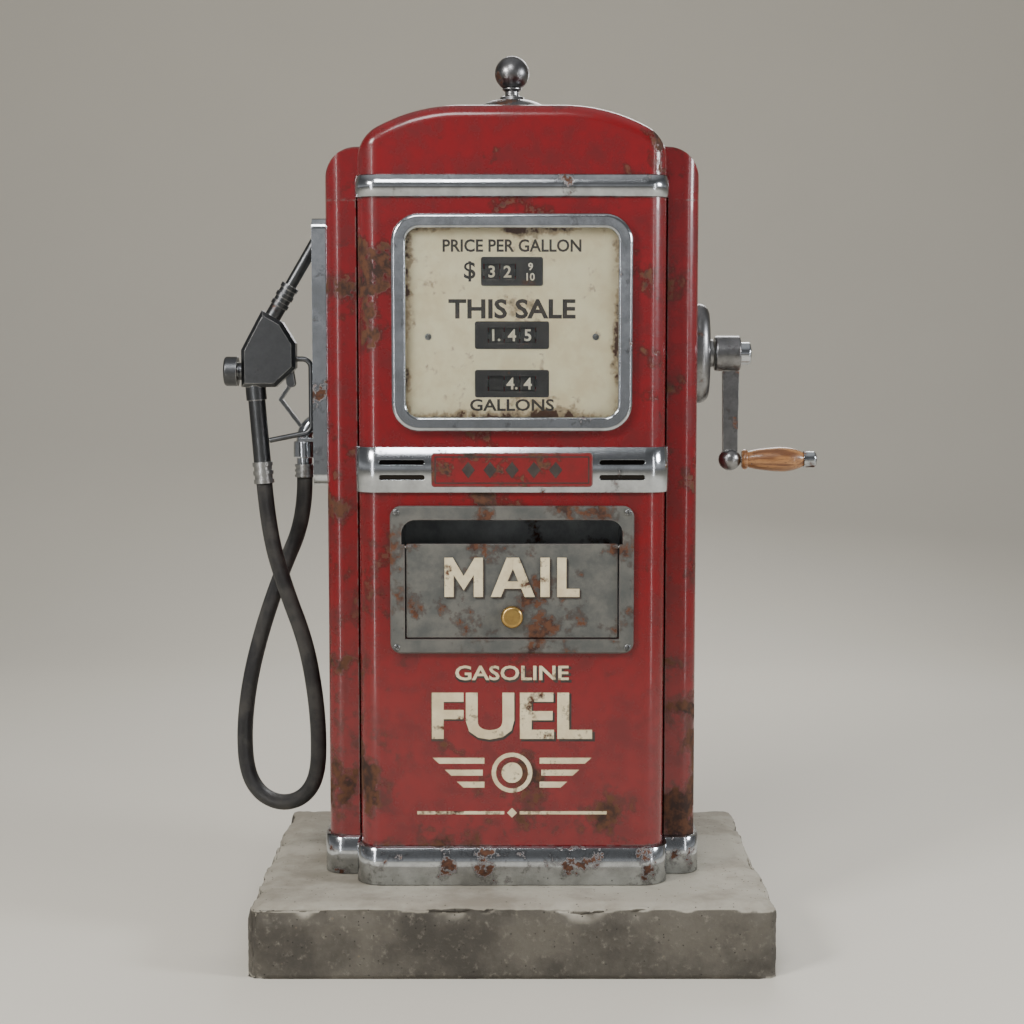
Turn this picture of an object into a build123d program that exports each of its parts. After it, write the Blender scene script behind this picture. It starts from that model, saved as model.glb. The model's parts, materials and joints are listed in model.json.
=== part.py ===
from build123d import *
import math
import os

# A roadside gas pump of the 1940s that serves as a mailbox: a pressed steel casing on a
# concrete slab, with a computing dial, a mail slot, a hose and nozzle on the left and a
# reset crank on the right. Millimetres, +Z up, front towards -Y, origin at the centre of
# the slab's underside.

# ---------------------------------------------------------------- casing and slab
slab_width, slab_depth, slab_height = 936.0, 700.0, 130.0
slab_chamfer = 12.0
pipe_hole_radius = 45.0            # hole through the slab for the supply pipe

housing_width = 680.0              # wide side housing
housing_depth = 270.0
housing_corner = 30.0
left_face = -housing_width / 2     # the hose side
bulge_width = 552.0                # narrower centre, deeper than the side housing
body_depth = 420.0
bulge_corner = 38.0
sheet = 2.5                        # casing sheet metal
groove = 6.0                       # dark gap between the centre panels and the side housing
seat_gap = 0.3                     # room between curved pieces that lie on each other
overlap = 1.0                      # how far fused shapes reach into each other

skirt_height = 71.0
skirt_proud = 8.0
skirt_sheet = 3.0
skirt_ledge = 2.7                  # just wider than the sheet that stands on it
seam_height = 1370.0               # joint between the panels and the top shell
shoulder_height = 1465.0
shoulder_radius = 60.0
crown_height = 1532.0
crown_flat = 90.0                  # half-width of the flat at the top of the crown
crown_edge_round = 24.0            # front and rear rims of the crown
arch_angle, crown_bend = 28.0, 70.0

# ---------------------------------------------------------------- bands
crown_band_height, crown_band_proud = 39.0, 5.0
middle_band_bottom, middle_band_height, middle_band_proud = 846.0, 81.0, 7.0
rib_slot_height, rib_slot_depth, rib_start = 9.0, 3.5, 156.0
plate_width, plate_height, plate_thickness = 288.0, 61.0, 3.0

# ---------------------------------------------------------------- dial
dial_center_height = 1147.5
bezel_width, bezel_height, bezel_corner = 428.0, 385.0, 50.0
bezel_ring, bezel_depth, bezel_round = 26.0, 18.0, 7.0
glass_thickness, glass_lip, fit_gap = 3.0, 5.0, 0.5
face_thickness, face_margin = 2.0, 6.0
wheel_radius, wheel_width, wheel_pitch = 42.0, 26.0, 28.0
wheel_setback = 2.5                # from the back of the dial face to the wheels
axle_radius, running_fit = 6.0, 0.05
price_row, sale_row, gallons_row = 1238.6, 1126.0, 1040.0
price_window = (110.0, 51.0)
count_window = (132.0, 49.0)
count_aperture = (86.0, 27.0)
price_aperture = (58.0, 27.0)
price_aperture_shift = -22.0
surround_thickness = 1.5
screw_head_radius, screw_head_height = 6.0, 3.0
screw_radius, screw_length = 2.5, 6.0
dial_screw_spread, dial_screw_height = 149.0, 1123.0

# ---------------------------------------------------------------- mail unit
mail_width, mail_height, mail_bottom, mail_corner = 437.0, 266.0, 556.0, 20.0
mail_frame_depth = 12.0
flap_width, flap_height, flap_bottom, flap_thickness = 380.0, 170.0, 584.0, 5.0
flap_gap = 2.0
slot_width, slot_height, slot_corner = 400.0, 43.0, 25.0
flap_setback = 4.0                 # from the face of the mail frame to the flap
flap_pin_drop = 6.0                # from the flap's top edge to its pivot
pin_radius, pin_seat, pin_length = 2.5, 10.0, 22.0
knob_radius, knob_height = 20.0, 623.0
bin_depth, bin_sheet, bin_margin = 198.0, 1.5, 4.0

# ---------------------------------------------------------------- frame inside
plate_steel = 8.0                  # base plate thickness
angle_leg, angle_steel = 30.0, 4.0
post_inset = 0.3                   # posts to the inside of the centre panels
post_top = 1360.0
rail_height = 30.0
rail_levels = (850.0, 1330.0)
anchor_radius, anchor_spread_x, anchor_spread_y = 8.0, 225.0, 150.0
anchor_depth, nut_height = 90.0, 13.0
shelf_height, shelf_steel = 985.0, 4.0
cheek_half_spread, cheek_steel = 75.0, 4.0

# ---------------------------------------------------------------- crank
crank_y, crank_height = -40.0, 1093.0
crank_plate_width, crank_plate_height, crank_plate_proud = 110.0, 185.0, 28.0
crank_plate_round, crank_plate_sheet = 20.0, 3.0
collar_radius, collar_length = 26.0, 8.0
shaft_radius = 10.0
hub_radius, hub_length, hub_gap = 33.0, 47.5, 2.5
hub_start = -left_face + crank_plate_proud + collar_length + hub_gap
hub_nut_radius, hub_nut_length = 21.0, 20.0
arm_x = hub_start + 30.5
arm_drop, arm_top_width, arm_end_width, arm_thickness = 198.0, 31.0, 27.0, 18.0
ball_radius = 21.0
spindle_radius, grip_length, grip_radius = 6.0, 116.0, 23.0
grip_start = arm_x + ball_radius + 1.0
grip_nut_radius, grip_nut_length = 15.0, 24.0

# ---------------------------------------------------------------- hose, outlet and nozzle
hose_radius = 15.0
nozzle_y, outlet_y, outlet_x = -50.0, 35.0, left_face - 58.0
outlet_height, outlet_bend = 966.0, 36.0
outlet_flange_radius, outlet_flange_thickness = 24.0, 5.0
outlet_tube_radius, cup_radius, cup_length = 15.0, 21.0, 32.0
cup_top = 926.0
ferrule_radius, ferrule_length = 19.0, 25.0
hose_route = [                     # reach from the housing's left face, then y and height
    (124.5, nozzle_y, 851.0),
    (117.0, -50.0, 757.0),
    (87.0, -50.0, 652.0),
    (50.0, -49.5, 552.0),
    (33.0, -47.0, 454.0),
    (27.0, -42.0, 366.0),
    (31.0, -35.0, 290.0),
    (57.0, -26.0, 246.0),
    (101.0, -16.0, 230.0),
    (145.0, -5.0, 246.0),
    (172.0, 6.0, 288.0),
    (178.0, 17.0, 366.0),
    (168.0, 26.0, 462.0),
    (142.0, 32.0, 566.0),
    (105.0, 35.0, 672.0),
    (58.0, outlet_y, 780.0),
    (58.0, outlet_y, 857.0),
]
hose_points = [(left_face - reach, y, z) for reach, y, z in hose_route]
holster_bottom, holster_top = 851.0, 1340.0
holster_proud, holster_half_width, holster_sheet = 26.0, 60.0, 3.0
holster_shelf_reach, holster_shelf_width, holster_shelf_thickness = 56.0, 34.0, 6.0
holster_shelf_height = 930.0
barrel_radius, barrel_start, barrel_end = 16.0, 40.0, 186.0
nozzle_half_thickness = 23.0
spout_start = (left_face - 105.0, 1162.0)
spout_lean = 30.4                  # degrees from upright
spout_radius, spout_bore, spout_length = 11.0, 8.5, 160.0
spout_collar_radius, spout_collar_start, spout_collar_length = 17.0, 22.0, 44.0
cap_radius, cap_length, cap_height = 27.5, 25.0, 1060.0
body_left, body_right, body_bottom = left_face - 163.0, left_face - 62.0, 1031.0
guard_radius, guard_bend, guard_x = 5.0, 16.0, left_face - 35.0
guard_top, guard_bottom = 1083.0, 947.0
lever_pivot = (left_face - 72.0, 1038.0)
lever_half_width, lever_bar, ear_thickness, pivot_radius = 7.0, 7.0, 4.0, 2.5

# ---------------------------------------------------------------- pump, motor and meter
pump_x, pump_y = -130.0, -20.0
pipe_radius, pipe_bore = 24.0, 20.5
pipe_recess = 10.0                 # from the slab's underside to the pipe's mouth
pump_bottom, pump_size = 215.0, (140.0, 120.0, 180.0)
pump_shaft_height = 320.0
motor_x, motor_height, motor_radius, motor_length = 120.0, 250.0, 68.0, 170.0
motor_y = -40.0
pulley_y, pulley_width = 96.0, 18.0
motor_pulley_radius, pump_pulley_radius = 32.0, 70.0
drive_radius = 9.0
belt_thickness, belt_width, belt_gap = 8.0, 12.0, 0.3
meter_x, meter_y, meter_radius, meter_bottom, meter_height = -110.0, 70.0, 62.0, 560.0, 140.0
riser_radius, riser_y = 14.0, 24.0
outlet_pipe_radius, outlet_pipe_bend = 13.0, 40.0
outlet_port_x = -140.0
meter_shaft_radius = 6.0
variator_size = (110.0, 80.0, 60.0)

# ---------------------------------------------------------------- rear door
door_gap = 2.0
hinge_offset = 8.0                 # pivot behind the side housing's rear face
knuckle_radius, hinge_pin_radius, knuckle_length = 7.0, 4.0, 26.0
hinge_heights = (330.0, 780.0, 1230.0)
leaf_thickness, leaf_width = 3.0, 30.0
lock_x, lock_height, lock_radius = -225.0, 790.0, 7.0
keeper_reach, keeper_length, keeper_tall = 54.0, 22.0, 30.0
handle_length, handle_reach, handle_width, handle_thickness = 84.0, 24.0, 16.0, 12.0
cam_reach, cam_thickness, cam_gap = 32.0, 5.0, 2.0

# ---------------------------------------------------------------- finial
finial_base_radius, finial_base_height = 75.0, 38.0
neck_radius, neck_height = 13.0, 16.0
finial_ball_radius = 32.0
seat_cut = 4.0                     # flat ground on the ball where it meets the neck

# ---------------------------------------------------------------- worked out from the above
skirt_top = slab_height + skirt_height
half_housing = housing_width / 2
half_bulge = bulge_width / 2
front = -body_depth / 2
panel_back = front + sheet
side_front = -housing_depth / 2
panel_height = seam_height - skirt_top
floor_level = slab_height + plate_steel
post_x = half_bulge - sheet - post_inset
post_y = housing_depth / 2 - sheet
face_front = panel_back
wheel_axis_y = face_front + face_thickness + wheel_setback + wheel_radius
opening_width = bezel_width - 2 * bezel_ring + 2 * face_margin
opening_height = bezel_height - 2 * bezel_ring + 2 * face_margin
mail_center = mail_bottom + mail_height / 2
flap_top = flap_bottom + flap_height
slot_top = flap_top + slot_height
flap_front = front - mail_frame_depth + flap_setback
flap_pivot = (flap_front + flap_thickness / 2, flap_top - flap_pin_drop)

os.makedirs("parts", exist_ok=True)


def save(piece, label):
    """Names a finished piece and writes it to its own file."""
    piece.part.label = label
    export_step(piece.part, "parts/" + label + ".step")


def housing_plan(proud):
    """Plan of the wide side housing, grown outwards by proud."""
    RectangleRounded(housing_width + 2 * proud, housing_depth + 2 * proud, housing_corner + proud)


def bulge_plan(proud):
    """Plan of the deep centre, grown outwards by proud."""
    RectangleRounded(bulge_width + 2 * proud, body_depth + 2 * proud, bulge_corner + proud)


def footprint(proud):
    """Whole stepped plan of the casing, grown outwards by proud."""
    housing_plan(proud)
    bulge_plan(proud)


def upright_box(center, size):
    """A box given by its centre and size, added to the part being built."""
    with Locations(center):
        Box(*size)


def turned(radius, axis_plane, length):
    """A round bar along the plane's normal, from the plane onwards."""
    with BuildSketch(axis_plane) as disc:
        Circle(radius)
    extrude(disc.sketch, amount=length)


# ================================================================ slab, base and frame
with BuildPart() as concrete_slab:
    upright_box((0, 0, slab_height / 2), (slab_width, slab_depth, slab_height))
    chamfer(concrete_slab.edges().filter_by(Axis.Z), slab_chamfer)
    chamfer(concrete_slab.faces().sort_by(Axis.Z)[-1].edges(), slab_chamfer / 2)
    with Locations((pump_x, pump_y, slab_height)):
        Hole(pipe_hole_radius, depth=slab_height)
    with Locations(Plane.XY.offset(slab_height)):
        with GridLocations(2 * anchor_spread_x, 2 * anchor_spread_y, 2, 2):
            Hole(anchor_radius, depth=anchor_depth)
save(concrete_slab, "concrete_slab")

# Cast-in studs with their nuts: the studs fill their holes in the slab.
with BuildPart() as anchor_bolts:
    with BuildSketch(Plane.XY.offset(slab_height - anchor_depth)):
        with GridLocations(2 * anchor_spread_x, 2 * anchor_spread_y, 2, 2):
            Circle(anchor_radius)
    extrude(amount=anchor_depth + plate_steel + 2 * nut_height)
    with BuildSketch(Plane.XY.offset(floor_level)):
        with GridLocations(2 * anchor_spread_x, 2 * anchor_spread_y, 2, 2):
            RegularPolygon(radius=1.7 * anchor_radius, side_count=6)
    extrude(amount=nut_height)
save(anchor_bolts, "anchor_bolts")

plate_inset = 3.0
with BuildPart() as base_plate:
    with BuildSketch(Plane.XY.offset(slab_height)):
        bulge_plan(-plate_inset)
        with Locations((pump_x, pump_y)):
            Circle(pipe_radius + 6, mode=Mode.SUBTRACT)
        with GridLocations(2 * anchor_spread_x, 2 * anchor_spread_y, 2, 2):
            Circle(anchor_radius, mode=Mode.SUBTRACT)
    extrude(amount=plate_steel)
save(base_plate, "base_plate")

# Four angle posts on the base plate, tied by two rings of flat rails.
with BuildPart() as inner_frame:
    for side in (-1, 1):
        for end in (-1, 1):
            leg_x = side * (post_x - angle_leg / 2)
            web_y = end * (post_y - angle_leg / 2)
            post_middle = (floor_level + post_top) / 2
            post_length = post_top - floor_level
            upright_box((leg_x, end * (post_y - angle_steel / 2), post_middle),
                        (angle_leg, angle_steel, post_length))
            upright_box((side * (post_x - angle_steel / 2), web_y, post_middle),
                        (angle_steel, angle_leg, post_length))
    for level in rail_levels:
        for side in (-1, 1):
            upright_box((side * (post_x - angle_steel * 1.5), 0, level + rail_height / 2),
                        (angle_steel, 2 * (post_y - angle_steel), rail_height))
            upright_box((0, side * (post_y - angle_steel * 1.5), level + rail_height / 2),
                        (2 * (post_x - angle_steel), angle_steel, rail_height))
    # keeper for the rear door's cam, on the rear left post
    keeper_x = -post_x + 1.5 * angle_steel
    keeper_end = post_y + keeper_reach
    upright_box((keeper_x, (post_y - angle_leg / 2 + keeper_end) / 2, lock_height),
                (angle_steel, keeper_reach + angle_leg / 2, keeper_tall))
    upright_box((keeper_x + keeper_length / 2, keeper_end - angle_steel / 2, lock_height),
                (keeper_length, angle_steel, keeper_tall))
save(inner_frame, "inner_frame")

# Chrome skirt: an upright band round the stepped plan, with a ledge for the panels.
with BuildPart() as skirt:
    with BuildSketch(Plane.XY.offset(slab_height)):
        footprint(skirt_proud)
    extrude(amount=skirt_height)
    lip = skirt.faces().sort_by(Axis.Z)[-1].edges()
    chamfer(lip, skirt_sheet)
    with BuildSketch(Plane.XY.offset(slab_height)):
        footprint(skirt_proud - skirt_sheet)
    extrude(amount=skirt_height - skirt_sheet - 1, mode=Mode.SUBTRACT)
    with BuildSketch(Plane.XY.offset(slab_height)):
        footprint(-skirt_ledge)
    extrude(amount=skirt_height, mode=Mode.SUBTRACT)
save(skirt, "skirt")

# ================================================================ casing
panel_level = Plane.XY.offset(skirt_top)
side_cut = half_bulge + groove     # where the side panels start, beyond the groove

# The side panels wrap round the ends of the housing and stop at the groove.
def side_panel_plan(side):
    """C-shaped plan of one side panel, on side -1 or 1."""
    housing_plan(0)
    RectangleRounded(housing_width - 2 * sheet, housing_depth - 2 * sheet,
                     housing_corner - sheet, mode=Mode.SUBTRACT)
    kept_width = half_housing - side_cut
    with Locations((side * (side_cut + kept_width / 2), 0)):
        Rectangle(kept_width, housing_depth, mode=Mode.INTERSECT)


with BuildPart() as left_side_panel:
    with BuildSketch(panel_level):
        side_panel_plan(-1)
    extrude(amount=panel_height)
    with BuildSketch(Plane.YZ.offset(-half_housing)):
        with Locations((outlet_y, outlet_height)):
            Circle(outlet_tube_radius + seat_gap)
    extrude(amount=2 * sheet, both=True, mode=Mode.SUBTRACT)
save(left_side_panel, "left_side_panel")

with BuildPart() as right_side_panel:
    with BuildSketch(panel_level):
        side_panel_plan(1)
    extrude(amount=panel_height)
    with BuildSketch(Plane.YZ.offset(half_housing)):
        with Locations((crank_y, crank_height)):
            Circle(shaft_radius + 2)
    extrude(amount=2 * sheet, both=True, mode=Mode.SUBTRACT)
save(right_side_panel, "right_side_panel")


def centre_panel_plan(end, gap=0.0):
    """C-shaped plan of the front (-1) or rear (1) panel, short of the housing by gap."""
    bulge_plan(0)
    RectangleRounded(bulge_width - 2 * sheet, body_depth - 2 * sheet, bulge_corner - sheet,
                     mode=Mode.SUBTRACT)
    inner_edge = housing_depth / 2 + gap
    kept_depth = body_depth / 2 - inner_edge
    with Locations((0, end * (inner_edge + kept_depth / 2))):
        Rectangle(bulge_width, kept_depth, mode=Mode.INTERSECT)


mail_screw_x = mail_width / 2 - 11
mail_screw_rise = mail_height / 2 - 11
with BuildPart() as front_panel:
    with BuildSketch(panel_level):
        centre_panel_plan(-1)
    extrude(amount=panel_height)
    with BuildSketch(Plane.XZ.offset(-front)):
        with Locations((0, dial_center_height)):
            RectangleRounded(opening_width, opening_height, bezel_corner - bezel_ring)
        with Locations((0, (flap_bottom + slot_top) / 2)):
            RectangleRounded(slot_width, slot_top - flap_bottom, slot_corner / 2)
        with Locations((0, mail_center)):
            with GridLocations(2 * mail_screw_x, 2 * mail_screw_rise, 2, 2):
                Circle(screw_radius)
    extrude(amount=-2 * sheet, mode=Mode.SUBTRACT)
save(front_panel, "front_panel")


def crown_outline(inset):
    """Arched front view of the crown: flat top, a shallow arch, then round corners to the sides."""
    top = crown_height - inset
    side = half_bulge - inset
    share = math.sin(math.radians(arch_angle))
    arch_bend = (half_bulge - crown_flat - crown_bend * (1 - share)) / share
    with BuildLine() as outline:
        Line((0, top), (crown_flat, top))
        arch = JernArc((crown_flat, top), (1, 0), arch_bend - inset, -arch_angle)
        corner = JernArc(arch @ 1, arch % 1, crown_bend - inset, arch_angle - 90)
        Polyline(corner @ 1, (side, seam_height - overlap), (0, seam_height - overlap))
        mirror(about=Plane.YZ)
    make_face(outline.edges())


def shoulder_outline(inset):
    """Front view of the side housing above the seam, with rounded shoulders."""
    half = half_housing - inset
    top = shoulder_height - inset
    bend = shoulder_radius - inset
    with BuildLine() as outline:
        Polyline((-half, top - bend), (-half, seam_height - overlap), (half, seam_height - overlap),
                 (half, top - bend))
        RadiusArc((half, top - bend), (half - bend, top), -bend)
        Line((half - bend, top), (bend - half, top))
        RadiusArc((bend - half, top), (-half, top - bend), -bend)
    make_face(outline.edges())


def crown_solid(inset, name):
    """The crown over the deep centre, inset from the outside by inset."""
    with BuildPart() as crown:
        with BuildSketch(Plane.XZ.offset(body_depth / 2 - inset)):
            crown_outline(inset)
        extrude(amount=-body_depth + 2 * inset)
        with BuildSketch(Plane.XY.offset(seam_height - overlap)):
            bulge_plan(-inset)
        extrude(amount=crown_height - seam_height + 2 * overlap, mode=Mode.INTERSECT)
        flat_faces = crown.faces().filter_by(Axis.Y)
        rims = flat_faces.edges().filter_by(lambda edge: edge.center().Z > crown_height - crown_bend)
        fillet(rims, crown_edge_round - inset)
    crown.part.label = name
    return crown.part


def shoulder_solid(inset, name):
    """The shoulders over the side housing, inset from the outside by inset."""
    with BuildPart() as shoulders:
        with BuildSketch(Plane.XZ.offset(housing_depth / 2)):
            shoulder_outline(inset)
        extrude(amount=-housing_depth)
        with BuildSketch(Plane.XY.offset(seam_height - overlap)):
            housing_plan(-inset)
        extrude(amount=shoulder_height - seam_height + 2 * overlap, mode=Mode.INTERSECT)
    shoulders.part.label = name
    return shoulders.part


crown_skin = crown_solid(0, "crown_skin")
crown_inside = crown_solid(sheet, "crown_inside")
shoulder_skin = shoulder_solid(0, "shoulder_skin")
shoulder_inside = shoulder_solid(sheet, "shoulder_inside")

# One pressed cover closes the casing above the seam.
with BuildPart() as top_shell:
    add(crown_skin)
    add(shoulder_skin)
    add(crown_inside, mode=Mode.SUBTRACT)
    add(shoulder_inside, mode=Mode.SUBTRACT)
    split(bisect_by=Plane.XY.offset(seam_height), keep=Keep.TOP)
save(top_shell, "top_shell")

# ================================================================ chrome bands
band_start = housing_depth / 2 + groove    # bands stop short of the side housing


def band_plan(inner, outer):
    """C-shaped plan of a band round the front panel, between two offsets from it."""
    bulge_plan(outer)
    RectangleRounded(bulge_width + 2 * inner, body_depth + 2 * inner, bulge_corner + inner,
                     mode=Mode.SUBTRACT)
    kept_depth = body_depth / 2 + outer - band_start
    with Locations((0, -band_start - kept_depth / 2)):
        Rectangle(bulge_width + 2 * outer, kept_depth, mode=Mode.INTERSECT)


with BuildPart() as crown_band:
    with BuildSketch(Plane.XY.offset(seam_height)):
        band_plan(seat_gap, crown_band_proud)
    extrude(amount=crown_band_height)
    chamfer(crown_band.faces().sort_by(Axis.Z)[-1].outer_wire().edges().sort_by(Axis.Y)[0], 1.5)
save(crown_band, "crown_band")

# Two slots at each side leave three raised ribs; the middle is cut back for the plate.
with BuildPart() as middle_band:
    with BuildSketch(Plane.XY.offset(middle_band_bottom)):
        band_plan(seat_gap, middle_band_proud)
    extrude(amount=middle_band_height)
    band_face = -front + middle_band_proud
    band_middle = middle_band_bottom + middle_band_height / 2
    rib_pitch = middle_band_height / 3
    slot_length = half_bulge - bulge_corner - rib_start
    with BuildSketch(Plane.XZ.offset(band_face)):
        for side in (-1, 1):
            for row in (-1, 1):
                with Locations((side * (rib_start + slot_length / 2), band_middle + row * rib_pitch / 2)):
                    SlotOverall(slot_length, rib_slot_height)
    extrude(amount=-rib_slot_depth, mode=Mode.SUBTRACT)
save(middle_band, "middle_band")

with BuildPart() as band_plate:
    with BuildSketch(Plane.XZ.offset(band_face)):
        with Locations((0, band_middle)):
            RectangleRounded(plate_width, plate_height, 6)
    extrude(amount=plate_thickness)
    chamfer(band_plate.faces().sort_by(Axis.Y)[0].edges(), 1)
save(band_plate, "band_plate")

# ================================================================ dial
with BuildPart() as dial_bezel:
    with BuildSketch(Plane.XZ.offset(-front)):
        with Locations((0, dial_center_height)):
            RectangleRounded(bezel_width, bezel_height, bezel_corner)
    extrude(amount=bezel_depth)
    fillet(dial_bezel.faces().sort_by(Axis.Y)[0].edges(), bezel_round)
    with BuildSketch(Plane.XZ.offset(-front)):
        with Locations((0, dial_center_height)):
            RectangleRounded(bezel_width - 2 * bezel_ring, bezel_height - 2 * bezel_ring,
                             bezel_corner - bezel_ring)
    extrude(amount=bezel_depth, mode=Mode.SUBTRACT)
    fillet(dial_bezel.faces().sort_by(Axis.Y)[0].inner_wires()[0].edges(), bezel_round - 2)
    rabbet_corner = bezel_corner - bezel_ring + glass_lip
    with BuildSketch(Plane.XZ.offset(-front)):
        with Locations((0, dial_center_height)):
            RectangleRounded(bezel_width - 2 * bezel_ring + 2 * glass_lip,
                             bezel_height - 2 * bezel_ring + 2 * glass_lip, rabbet_corner)
    extrude(amount=bezel_depth / 2, mode=Mode.SUBTRACT)
save(dial_bezel, "dial_bezel")

with BuildPart() as dial_glass:
    with BuildSketch(Plane.XZ.offset(-front + bezel_depth / 2)):
        with Locations((0, dial_center_height)):
            RectangleRounded(bezel_width - 2 * bezel_ring + 2 * glass_lip - fit_gap,
                             bezel_height - 2 * bezel_ring + 2 * glass_lip - fit_gap,
                             rabbet_corner - fit_gap)
    extrude(amount=-glass_thickness)
save(dial_glass, "dial_glass")

window_rows = ((price_row, price_window, price_aperture, price_aperture_shift),
               (sale_row, count_window, count_aperture, 0.0),
               (gallons_row, count_window, count_aperture, 0.0))
aperture_relief = 3.0
with BuildPart() as dial_face:
    with BuildSketch(Plane.XZ.offset(-face_front)):
        with Locations((0, dial_center_height)):
            Rectangle(opening_width + 2 * face_margin, opening_height + 2 * face_margin)
        for row, window, aperture, shift in window_rows:
            with Locations((shift, row)):
                Rectangle(aperture[0] + aperture_relief, aperture[1] + aperture_relief,
                          mode=Mode.SUBTRACT)
        for side in (-1, 1):
            with Locations((side * dial_screw_spread, dial_screw_height)):
                Circle(screw_radius, mode=Mode.SUBTRACT)
    extrude(amount=-face_thickness)
save(dial_face, "dial_face")

# Black surrounds on the dial face; the price one also backs the printed fraction.
with BuildPart() as window_frames:
    with BuildSketch(Plane.XZ.offset(-face_front)):
        for row, window, aperture, shift in window_rows:
            with Locations((0, row)):
                RectangleRounded(window[0], window[1], 4)
            with Locations((shift, row)):
                RectangleRounded(aperture[0], aperture[1], 2, mode=Mode.SUBTRACT)
    extrude(amount=surround_thickness)
save(window_frames, "window_frames")

# ================================================================ mail unit
frame_face = -front + mail_frame_depth
with BuildPart() as mail_frame:
    with BuildSketch(Plane.XZ.offset(-front)):
        with Locations((0, mail_center)):
            RectangleRounded(mail_width, mail_height, mail_corner)
        with Locations((0, (flap_bottom - flap_gap + flap_top) / 2)):
            Rectangle(flap_width + 2 * flap_gap, flap_height + flap_gap, mode=Mode.SUBTRACT)
        with Locations((0, mail_center)):
            with GridLocations(2 * mail_screw_x, 2 * mail_screw_rise, 2, 2):
                Circle(screw_radius, mode=Mode.SUBTRACT)
    extrude(amount=mail_frame_depth)
    chamfer(mail_frame.faces().sort_by(Axis.Y)[0].outer_wire().edges(), 2.5)
    with BuildSketch(Plane.XZ.offset(-front)) as slot_profile:
        with Locations((0, flap_top + slot_height / 2 - overlap / 2)):
            Rectangle(slot_width - 2 * flap_gap, slot_height + overlap)
        fillet(slot_profile.vertices().group_by(Axis.Y)[-1], slot_corner)
    extrude(amount=mail_frame_depth, mode=Mode.SUBTRACT)
    for side in (-1, 1):
        pivot_hole = Plane(origin=(side * (flap_width / 2 - pin_seat), flap_pivot[0], flap_pivot[1]),
                           z_dir=(side, 0, 0))
        with BuildSketch(pivot_hole):
            Circle(pin_radius)
        extrude(amount=pin_length, mode=Mode.SUBTRACT)
save(mail_frame, "mail_frame")

with BuildPart() as mail_flap:
    with BuildSketch(Plane.XZ.offset(-flap_front)):
        with Locations((0, flap_bottom + flap_height / 2)):
            RectangleRounded(flap_width, flap_height, 4)
    extrude(amount=-flap_thickness)
    chamfer(mail_flap.faces().sort_by(Axis.Y)[0].edges(), 1)
    for side in (-1, 1):
        pivot_hole = Plane(origin=(side * (flap_width / 2 - pin_seat), flap_pivot[0], flap_pivot[1]),
                           z_dir=(side, 0, 0))
        with Locations(pivot_hole):
            Cylinder(pin_radius + 2, pin_seat, align=(Align.CENTER, Align.CENTER, Align.MIN))
            Cylinder(pin_radius + running_fit, pin_seat + overlap,
                     align=(Align.CENTER, Align.CENTER, Align.MIN), mode=Mode.SUBTRACT)
save(mail_flap, "mail_flap")

with BuildPart() as hinge_pins:
    for side in (-1, 1):
        pin_start = side * (flap_width / 2 - pin_seat + 0.5)
        turned(pin_radius, Plane(origin=(pin_start, flap_pivot[0], flap_pivot[1]), z_dir=(side, 0, 0)),
               pin_length - 0.5)
save(hinge_pins, "hinge_pins")

rose_radius, rose_thickness, knob_thickness = 13.0, 4.0, 13.0
with BuildPart() as flap_knob:
    turned(rose_radius, Plane.XZ.offset(-flap_front).shift_origin((0, flap_front, knob_height)),
           rose_thickness)
    turned(knob_radius,
           Plane.XZ.offset(-flap_front).shift_origin((0, flap_front, knob_height)).offset(rose_thickness),
           knob_thickness)
    fillet(flap_knob.faces().sort_by(Axis.Y)[0].edges(), knob_thickness / 2)
save(flap_knob, "flap_knob")

# Tray behind the slot and flap, hung on the panel by its flange.
with BuildPart() as mail_bin:
    bin_width = slot_width + 2 * bin_margin
    bin_low, bin_high = flap_bottom - bin_margin, slot_top + bin_margin
    with BuildSketch(Plane.XZ.offset(-panel_back)):
        with Locations((0, (bin_low + bin_high) / 2)):
            Rectangle(bin_width, bin_high - bin_low)
    extrude(amount=-bin_depth)
    offset(amount=-bin_sheet, openings=mail_bin.faces().sort_by(Axis.Y)[0])
    with BuildSketch(Plane.XZ.offset(-panel_back)):
        with Locations((0, mail_center)):
            Rectangle(mail_width - 6, mail_height - 6)
            with GridLocations(2 * mail_screw_x, 2 * mail_screw_rise, 2, 2):
                Circle(screw_radius, mode=Mode.SUBTRACT)
        with Locations((0, (bin_low + bin_high) / 2)):
            Rectangle(bin_width - 2 * bin_sheet, bin_high - bin_low - 2 * bin_sheet,
                      mode=Mode.SUBTRACT)
    extrude(amount=-bin_sheet)
save(mail_bin, "mail_bin")

# Pan-head screws of the dial face and of the mail frame.
with BuildPart() as casing_screws:
    with BuildSketch(Plane.XZ.offset(-face_front)):
        for side in (-1, 1):
            with Locations((side * dial_screw_spread, dial_screw_height)):
                Circle(screw_head_radius)
    extrude(amount=screw_head_height)
    with BuildSketch(Plane.XZ.offset(-face_front)):
        for side in (-1, 1):
            with Locations((side * dial_screw_spread, dial_screw_height)):
                Circle(screw_radius)
    extrude(amount=-screw_length)
    with BuildSketch(Plane.XZ.offset(frame_face)):
        with Locations((0, mail_center)):
            with GridLocations(2 * mail_screw_x, 2 * mail_screw_rise, 2, 2):
                Circle(screw_head_radius)
    extrude(amount=screw_head_height)
    with BuildSketch(Plane.XZ.offset(frame_face)):
        with Locations((0, mail_center)):
            with GridLocations(2 * mail_screw_x, 2 * mail_screw_rise, 2, 2):
                Circle(screw_radius)
    extrude(amount=-mail_frame_depth - screw_length)
save(casing_screws, "casing_screws")

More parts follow.
